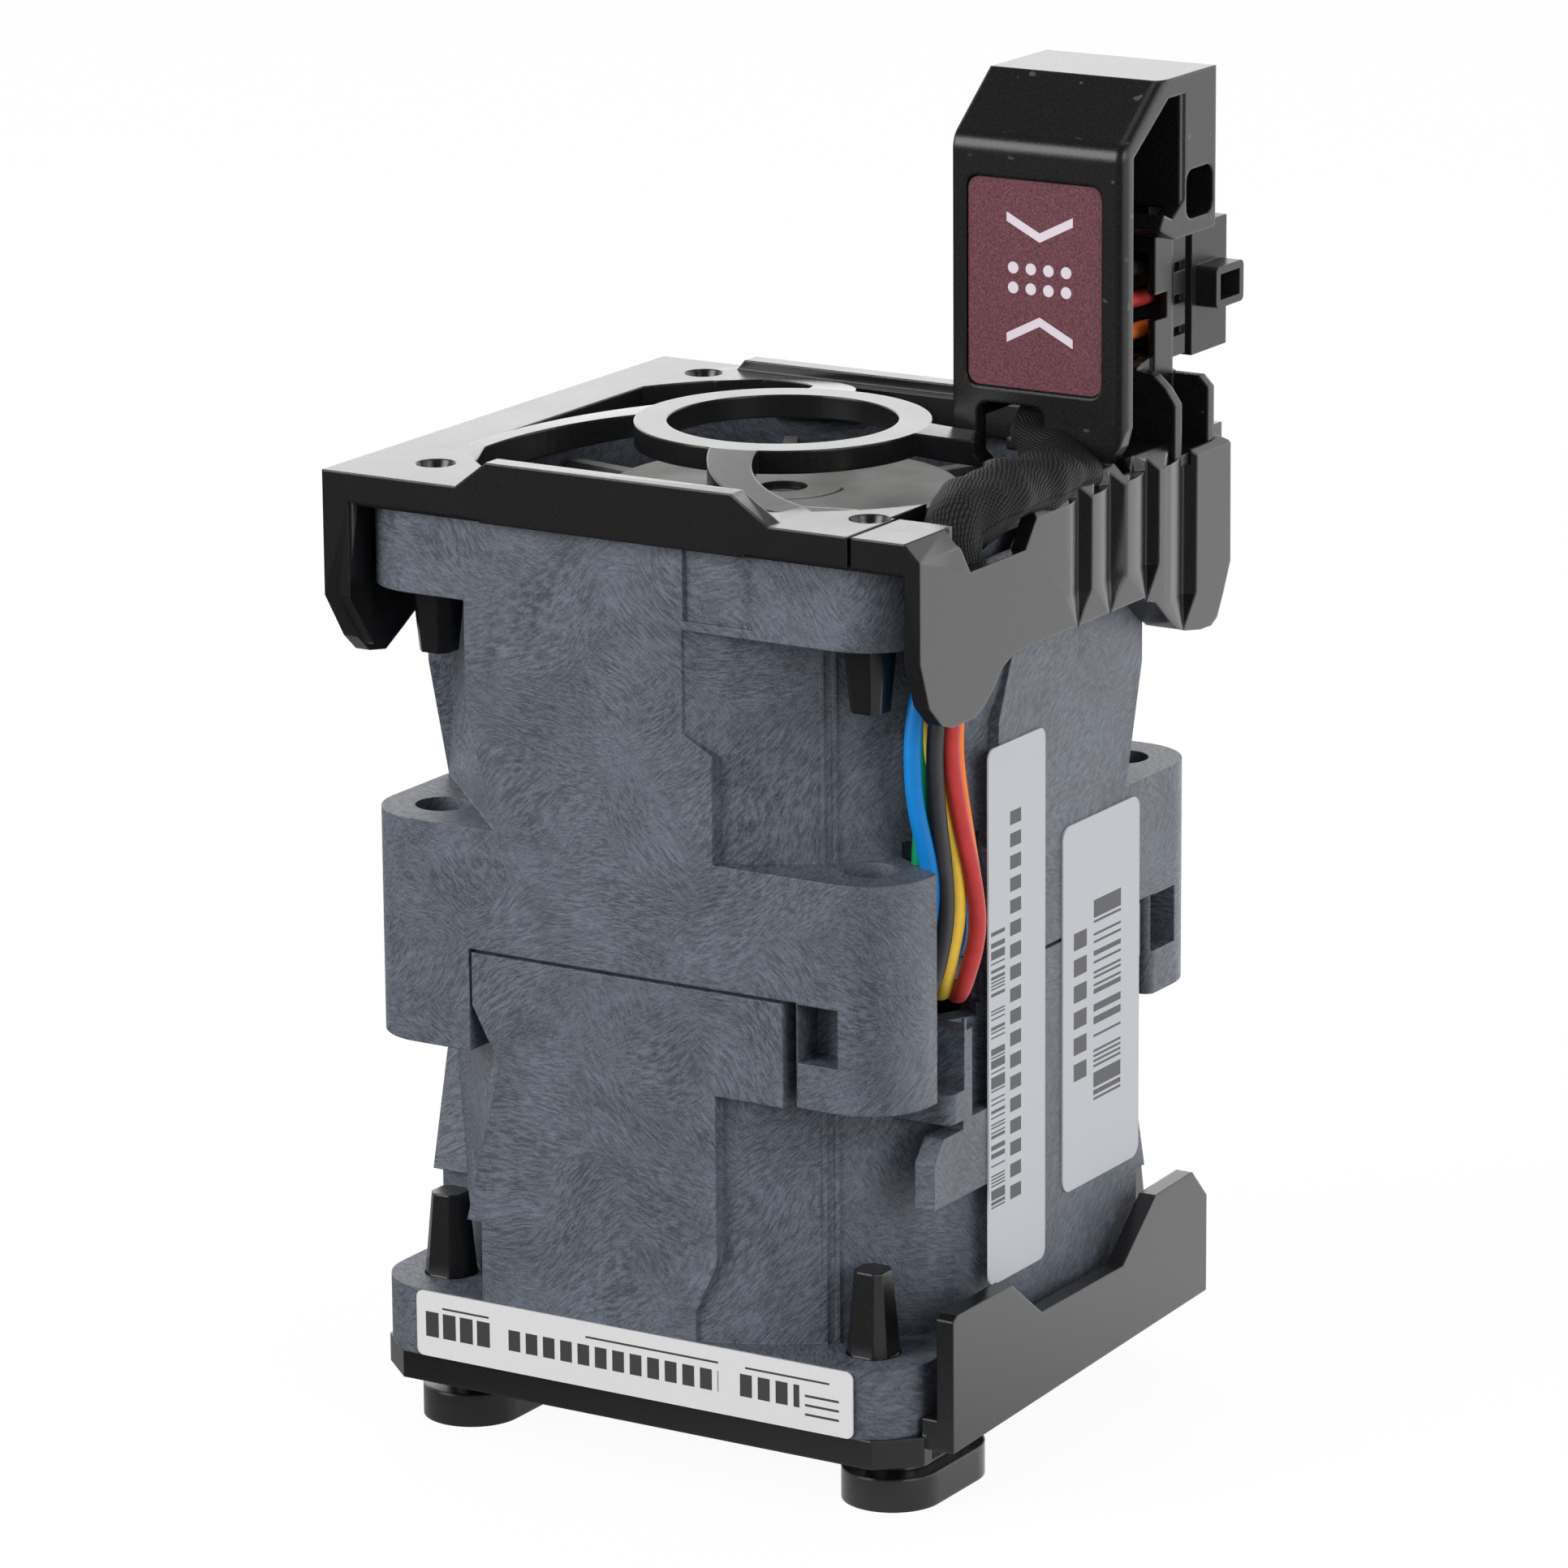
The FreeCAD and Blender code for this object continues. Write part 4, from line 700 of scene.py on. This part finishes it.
def dress(finishes):
    """Each CAD node takes the finish of its slot in the record."""
    for part in frame["record"]["subparts"]:
        mesh = NODES[part["node"]].data
        mesh.materials.clear()
        mesh.materials.append(finishes[part["material_slot"]])


def link_range(tree, source, ends, values):
    """Socket that runs between two values while the source runs between two ends."""
    node = tree.nodes.new("ShaderNodeMapRange")
    tree.links.new(source, node.inputs["Value"])
    node.inputs["From Min"].default_value, node.inputs["From Max"].default_value = ends
    node.inputs["To Min"].default_value, node.inputs["To Max"].default_value = values
    return node.outputs[0]


def floor_finish():
    """White in the camera's view with a faint shadow, grey as a source of light, and in reflections
    bright behind the object and dark before it."""
    finish = Finish("floor_white", roughness=0.9, specular=0.1)
    finish.color(finish.mix(finish.noise(0.05), *SHADES["floor"]))
    path = finish.node("ShaderNodeLightPath")
    plain = {"Color": WHITE, "Strength": FLOOR_WHITE}
    white = finish.node("ShaderNodeEmission", None, plain).outputs[0]
    behind = finish.axis("X") * FLOOR_GLOW_WAY[0] + finish.axis("Y") * FLOOR_GLOW_WAY[1]
    glow = behind.ramp(*FLOOR_GLOW_STRETCH) * (FLOOR_GLOW_BACK - FLOOR_GLOW_FRONT) + FLOOR_GLOW_FRONT
    mirrored = finish.node("ShaderNodeEmission", None, {"Color": WHITE, "Strength": glow}).outputs[0]
    share = Number(finish, path.outputs["Is Camera Ray"]) * FLOOR_WHITE_SHARE
    direct = finish.node("ShaderNodeMixShader", None, {0: share, 1: finish.shader.outputs[0], 2: white})
    surface = {0: path.outputs["Is Glossy Ray"], 1: direct.outputs[0], 2: mirrored}
    both = finish.node("ShaderNodeMixShader", None, surface)
    output = next(node for node in finish.tree.nodes if node.type == "OUTPUT_MATERIAL")
    finish.feed(output.inputs["Surface"], both.outputs[0])
    return finish.done()


def add_stage():
    """Plain pale floor, a square that lies under the feet."""
    half = FLOOR_SIZE / 2
    mesh = bpy.data.meshes.new("floor")
    corners = [(-half, -half, FLOOR_Z), (half, -half, FLOOR_Z), (half, half, FLOOR_Z), (-half, half, FLOOR_Z)]
    mesh.from_pydata(corners, [], [(0, 1, 2, 3)])
    floor = bpy.data.objects.new("floor", mesh)
    bpy.context.scene.collection.objects.link(floor)
    mesh.materials.append(floor_finish())


def add_world():
    """White surroundings: white to the camera, softer as light, and in reflections bright low behind
    the object and dark overhead and before it."""
    world = bpy.data.worlds.new("studio")
    world.use_nodes = True
    bpy.context.scene.world = world
    tree = world.node_tree
    background = tree.nodes["Background"]
    path = tree.nodes.new("ShaderNodeLightPath")
    sight = tree.nodes.new("ShaderNodeMath")
    sight.operation = "MAXIMUM"
    tree.links.new(path.outputs["Is Camera Ray"], sight.inputs[0])
    tree.links.new(path.outputs["Is Transmission Ray"], sight.inputs[1])
    level = link_range(tree, sight.outputs[0], (0.0, 1.0), (WORLD_LIGHT, 1.0))
    place = tree.nodes.new("ShaderNodeTexCoord")
    split = tree.nodes.new("ShaderNodeSeparateXYZ")
    tree.links.new(place.outputs["Generated"], split.inputs[0])
    height = link_range(tree, split.outputs["Z"], SKY_HEIGHTS, (SKY_GLOW_LOW, SKY_GLOW_HIGH))
    front = link_range(tree, split.outputs["Y"], SKY_FRONT_STRETCH, (SKY_FRONT_SHARE, 1.0))
    seen = tree.nodes.new("ShaderNodeMath")
    seen.operation = "MULTIPLY"
    tree.links.new(height, seen.inputs[0])
    tree.links.new(front, seen.inputs[1])
    mirror = tree.nodes.new("ShaderNodeMix")
    tree.links.new(path.outputs["Is Glossy Ray"], mirror.inputs[0])
    tree.links.new(level, mirror.inputs[2])
    tree.links.new(seen.outputs[0], mirror.inputs[3])
    tree.links.new(mirror.outputs[0], background.inputs["Strength"])
    background.inputs["Color"].default_value = WHITE


def add_lamps():
    """Soft square lamps that face the object's middle."""
    for name, (place, width, power) in LAMPS.items():
        data = bpy.data.lights.new(name, "AREA")
        data.size = width
        data.energy = power
        lamp = bpy.data.objects.new(name, data)
        bpy.context.scene.collection.objects.link(lamp)
        lamp.location = place
        lamp.rotation_mode = "QUATERNION"
        lamp.rotation_quaternion = Vector(place).to_track_quat("Z", "Y")


def closed_mesh(name, points, faces):
    """Object from points in millimetres and faces that close round them."""
    mesh = bpy.data.meshes.new(name)
    mesh.from_pydata([tuple(c * MM for c in point) for point in points], [], faces)
    work = bmesh.new()
    work.from_mesh(mesh)
    bmesh.ops.recalc_face_normals(work, faces=work.faces)
    work.to_mesh(mesh)
    work.free()
    made = bpy.data.objects.new(name, mesh)
    bpy.context.scene.collection.objects.link(made)
    return made


def lathe(name, profile, count=96):
    """Closed body turned round the rotors' axis from (radius, height) points, whose first and last lie
    on the axis."""
    low, high = profile[0], profile[-1]
    ring = profile[1:-1]
    turns = [2.0 * math.pi * k / count for k in range(count)]
    points = [(r * math.cos(a), r * math.sin(a), z) for a in turns for r, z in ring]
    size = len(ring)
    faces = []
    for k in range(count):
        here, after = k * size, (k + 1) % count * size
        faces += [(here + n, after + n, after + n + 1, here + n + 1) for n in range(size - 1)]
        faces += [(here, len(points), after), (here + size - 1, after + size - 1, len(points) + 1)]
    points += [(0.0, 0.0, low[1]), (0.0, 0.0, high[1])]
    return closed_mesh(name, points, faces)


def groove_body(name, profile, top, run, tip):
    """Body of a groove: a profile of (y, x) points from top down to run, then to a point at the tip."""
    size = len(profile)
    points = [(x, y, z) for z in (top, run) for y, x in profile] + [(WALL_X, tip[0], tip[1])]
    faces = [(n, (n + 1) % size, size + (n + 1) % size, size + n) for n in range(size)]
    faces += [(size + n, size + (n + 1) % size, 2 * size) for n in range(size)]
    return closed_mesh(name, points, faces + [tuple(range(size))])


def settle(piece):
    """Turns a piece's modifiers into its mesh."""
    bpy.context.view_layer.update()
    mesh = bpy.data.meshes.new_from_object(piece.evaluated_get(bpy.context.evaluated_depsgraph_get()))
    piece.modifiers.clear()
    piece.data = mesh


def combine(piece, tool, operation):
    """Joins a tool to a piece or takes it away, then deletes the tool."""
    change = piece.modifiers.new("change", "BOOLEAN")
    change.operation = operation
    change.solver = "EXACT"
    change.object = tool
    settle(piece)
    bpy.data.objects.remove(tool)


def plain_groove(edges, tip_z):
    """Body that fills a groove with two equally steep sides."""
    left, bottom, right = edges
    profile = [(left - FILL_OVERLAP, WALL_X), (bottom, WALL_X - PLAIN_DEPTH), (right + FILL_OVERLAP, WALL_X)]
    return groove_body("filled", profile, LEG_Z, tip_z + GROOVE_RUN_OUT, (bottom, tip_z - FILL_OVERLAP))


def hollow_groove(left, tip_y, right, tip_z):
    """Body that cuts a groove whose left side sinks slowly at first and whose right side is steep."""
    deep = tip_y + GROOVE_BEYOND_TIP
    side = [(left + (deep - left) * share, WALL_X - GROOVE_DEPTH * share ** GROOVE_BEND)
            for share in GROOVE_SHARES]
    profile = [(left, WALL_X + CUT_OVERLAP)] + side + [(right, WALL_X), (right, WALL_X + CUT_OVERLAP)]
    return groove_body("hollow", profile, ABOVE_FRAME_Z, tip_z + GROOVE_RUN_OUT, (tip_y, tip_z))


def add_frame(finishes):
    """End frame with the guard's thin arms and ring and the right wall's hollow grooves."""
    piece = bpy.data.objects.new("end_frame_fine", NODES["end_frame"].data.copy())
    bpy.context.scene.collection.objects.link(piece)
    work = bmesh.new()
    work.from_mesh(piece.data)
    bmesh.ops.remove_doubles(work, verts=work.verts, dist=MERGE_DISTANCE)
    work.to_mesh(piece.data)
    work.free()
    profile = [(0, UNDER_GUARD_Z), (GUARD_R, UNDER_GUARD_Z), (GUARD_R, GUARD_EDGE_Z), (RING_R, RING_LOW_Z),
               (0, RING_LOW_Z)]
    combine(piece, lathe("below_guard", profile), "DIFFERENCE")
    for plain, left, tip_y, right, tip_z in GROOVES:
        combine(piece, plain_groove(plain, tip_z), "UNION")
        combine(piece, hollow_groove(left, tip_y, right, tip_z), "DIFFERENCE")
    piece.data.shade_smooth()
    piece.data.set_sharp_from_angle(angle=math.radians(SHARP_ANGLE))
    weight = piece.modifiers.new("weight", "WEIGHTED_NORMAL")
    weight.keep_sharp = True
    settle(piece)
    piece.data.materials.clear()
    piece.data.materials.append(finishes["frame_plastic"])
    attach(piece, "module")
    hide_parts("end_frame")


def smooth_line(points, count):
    """Points at even steps along a NURBS curve of degree 2 with the given control points, and the
    distance of each from the start."""
    curve = bpy.data.curves.new("line", "CURVE")
    curve.dimensions = "3D"
    curve.resolution_u = 24
    spline = curve.splines.new("NURBS")
    spline.points.add(len(points) - 1)
    for point, place in zip(spline.points, points):
        point.co = (place[0] * MM, place[1] * MM, place[2] * MM, 1.0)
    spline.order_u = 3
    spline.use_endpoint_u = True
    holder = bpy.data.objects.new("line", curve)
    bpy.context.scene.collection.objects.link(holder)
    bpy.context.view_layer.update()
    mesh = bpy.data.meshes.new_from_object(holder)
    line = np.array([vertex.co for vertex in mesh.vertices], float)
    bpy.data.objects.remove(holder)
    bpy.data.curves.remove(curve)
    bpy.data.meshes.remove(mesh)
    steps = np.concatenate([[0.0], np.cumsum(np.linalg.norm(np.diff(line, axis=0), axis=1))])
    where = np.linspace(0.0, steps[-1], count)
    return np.stack([np.interp(where, steps, line[:, k]) for k in range(3)], axis=1), where


def grid_piece(name, grid, finish, body, attributes=None):
    """Mesh from a grid of points, rows along and columns around, joined round the columns."""
    rows, columns, _ = grid.shape
    mesh = bpy.data.meshes.new(name)
    row, column = np.meshgrid(np.arange(rows - 1), np.arange(columns), indexing="ij")
    after = (column + 1) % columns
    start, end = row * columns, (row + 1) * columns
    faces = np.stack([start + column, start + after, end + after, end + column], axis=-1)
    mesh.from_pydata(grid.reshape(-1, 3).tolist(), [], faces.reshape(-1, 4).tolist())
    for key, values in (attributes or {}).items():
        made = mesh.attributes.new(key, "FLOAT", "POINT")
        made.data.foreach_set("value", values.astype(np.float32).ravel())
    mesh.shade_smooth()
    piece = bpy.data.objects.new(name, mesh)
    bpy.context.scene.collection.objects.link(piece)
    mesh.materials.append(finish)
    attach(piece, body)
    return piece


def sides_along(line):
    """Level side and upper direction at each point of a line: the side turns only as the line bends."""
    tangent = np.gradient(line, axis=0)
    tangent /= np.linalg.norm(tangent, axis=1)[:, None]
    side = np.zeros_like(tangent)
    before = np.array([1.0, 0.0, 0.0])
    for k, here in enumerate(tangent):
        before = before - here * np.dot(before, here)
        before /= np.linalg.norm(before)
        side[k] = before
    return side, np.cross(tangent, side)


def tube_grid(line, across, upwards):
    """Grid of points round a line: each row is the line's point plus the given steps, one for each
    column, along its side and its upper direction."""
    side, upper = sides_along(line)
    return line[:, None, :] + side[:, None, :] * across[..., None] + upper[:, None, :] * upwards[..., None]


def turns_round(columns):
    """Angles of the columns, evenly spaced round a tube."""
    return np.linspace(0.0, 2.0 * math.pi, columns, endpoint=False)[None, :]


def add_sleeve(finishes):
    """Woven tape wound round the wires: an ellipse carried along the sleeve's line, whose radius ripples
    in shallow folds. Each fold is a sine of the distance along and the angle round, and all fade out at
    both ends."""
    rows, columns = SLEEVE_GRID
    line, distance = smooth_line(SLEEVE_POINTS, rows)
    along = (distance / MM)[:, None]
    share = along / along[-1]
    angle = turns_round(columns)
    fold = sum(depth * np.sin(waves * along + turns * angle + shift)
               for depth, waves, turns, shift in SLEEVE_FOLDS)
    fold = fold * np.minimum(1.0, FOLD_RISE * share * (FOLD_END - share))
    width = np.interp(share, WIDTH_SHARES, SLEEVE_WIDTHS) + fold
    height = np.interp(share, HEIGHT_SHARES, SLEEVE_HEIGHTS) + fold
    grid = tube_grid(line, width * MM * np.cos(angle), height * MM * np.sin(angle))
    threads = {"along": np.broadcast_to(along, (rows, columns)),
               "around": np.broadcast_to(angle * THREAD_REACH, (rows, columns))}
    sleeve = grid_piece("fabric_sleeve", grid, finishes["sleeve_fabric"], "module", threads)
    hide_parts("cable_sleeve")


def lane_point(out, side, height):
    """Point beside the wire channel: distance from the rotors' axis, step across the lane, height."""
    turn = math.radians(CHANNEL_ANGLE)
    return (out * math.cos(turn) - side * math.sin(turn),
            out * math.sin(turn) + side * math.cos(turn), height)


def sleeve_places(across, back):
    """Control points of a wire inside the sleeve, beside each of its middle line's."""
    mouth = SLEEVE_POINTS[1]
    wide, deep, high = MOUTH_SHARES
    places = [(mouth[0] + across * wide, mouth[1] + back * deep, mouth[2] - back * high)]
    wide, high = INSIDE_SHARES
    for before, here, after in zip(SLEEVE_POINTS[1:], SLEEVE_POINTS[2:-1], SLEEVE_POINTS[3:]):
        travel = Vector((after[0] - before[0], after[1] - before[1])).normalized()
        places.append((here[0] + travel.y * across * wide, here[1] - travel.x * across * wide,
                       here[2] - back * high))
    return places


def wire_points(place, lane, floor, column, row, loop):
    """Control points of one wire: channel, hanging loop, bundle, sleeve and connector."""
    angle = math.radians(BUNDLE_START + place * 360.0 / OUTER_WIRES)
    reach = BUNDLE_R if place < OUTER_WIRES else BUNDLE_MIDDLE_R
    across, back = reach * math.cos(angle), reach * math.sin(angle)
    points = [lane_point(out, lane, floor) for out in CHANNEL_REACH]
    points += [lane_point(*step) for step in loop]
    points += [(TRUNK[0] + across, TRUNK[1] + back, z) for z in TRUNK_HEIGHTS]
    points += sleeve_places(across, back)
    end = SLEEVE_POINTS[-1]
    rise = (end[0] + across * RISE_SHARE, end[1] + back * RISE_SHARE)
    points += [(*rise, end[2]), (*rise, TERMINAL_Z[row])]
    return points + [(TERMINAL_X[column], y, TERMINAL_Z[row]) for y in TERMINAL_Y]


def add_wires(finishes):
    """Round wires that hang in loose loops beside the channel before they enter the sleeve: a circle
    carried along each wire's line."""
    rows, columns = WIRE_GRID
    angle = turns_round(columns)
    radius = np.full((rows, 1), WIRE_R * MM)
    for color, route in WIRES.items():
        line, _ = smooth_line(wire_points(*route), rows)
        grid = tube_grid(line, radius * np.cos(angle), radius * np.sin(angle))
        slot = "insulation_" + color.replace("_second", "")
        wire = grid_piece("round_wire_" + color, grid, finishes[slot], "module")
        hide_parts("wire_" + color)


def main():
    bpy.context.scene.view_settings.view_transform = "Standard"
    add_camera()
    finishes = make_finishes()
    dress(finishes)
    add_frame(finishes)
    add_sleeve(finishes)
    add_wires(finishes)
    add_world()
    add_lamps()
    add_stage()


main()
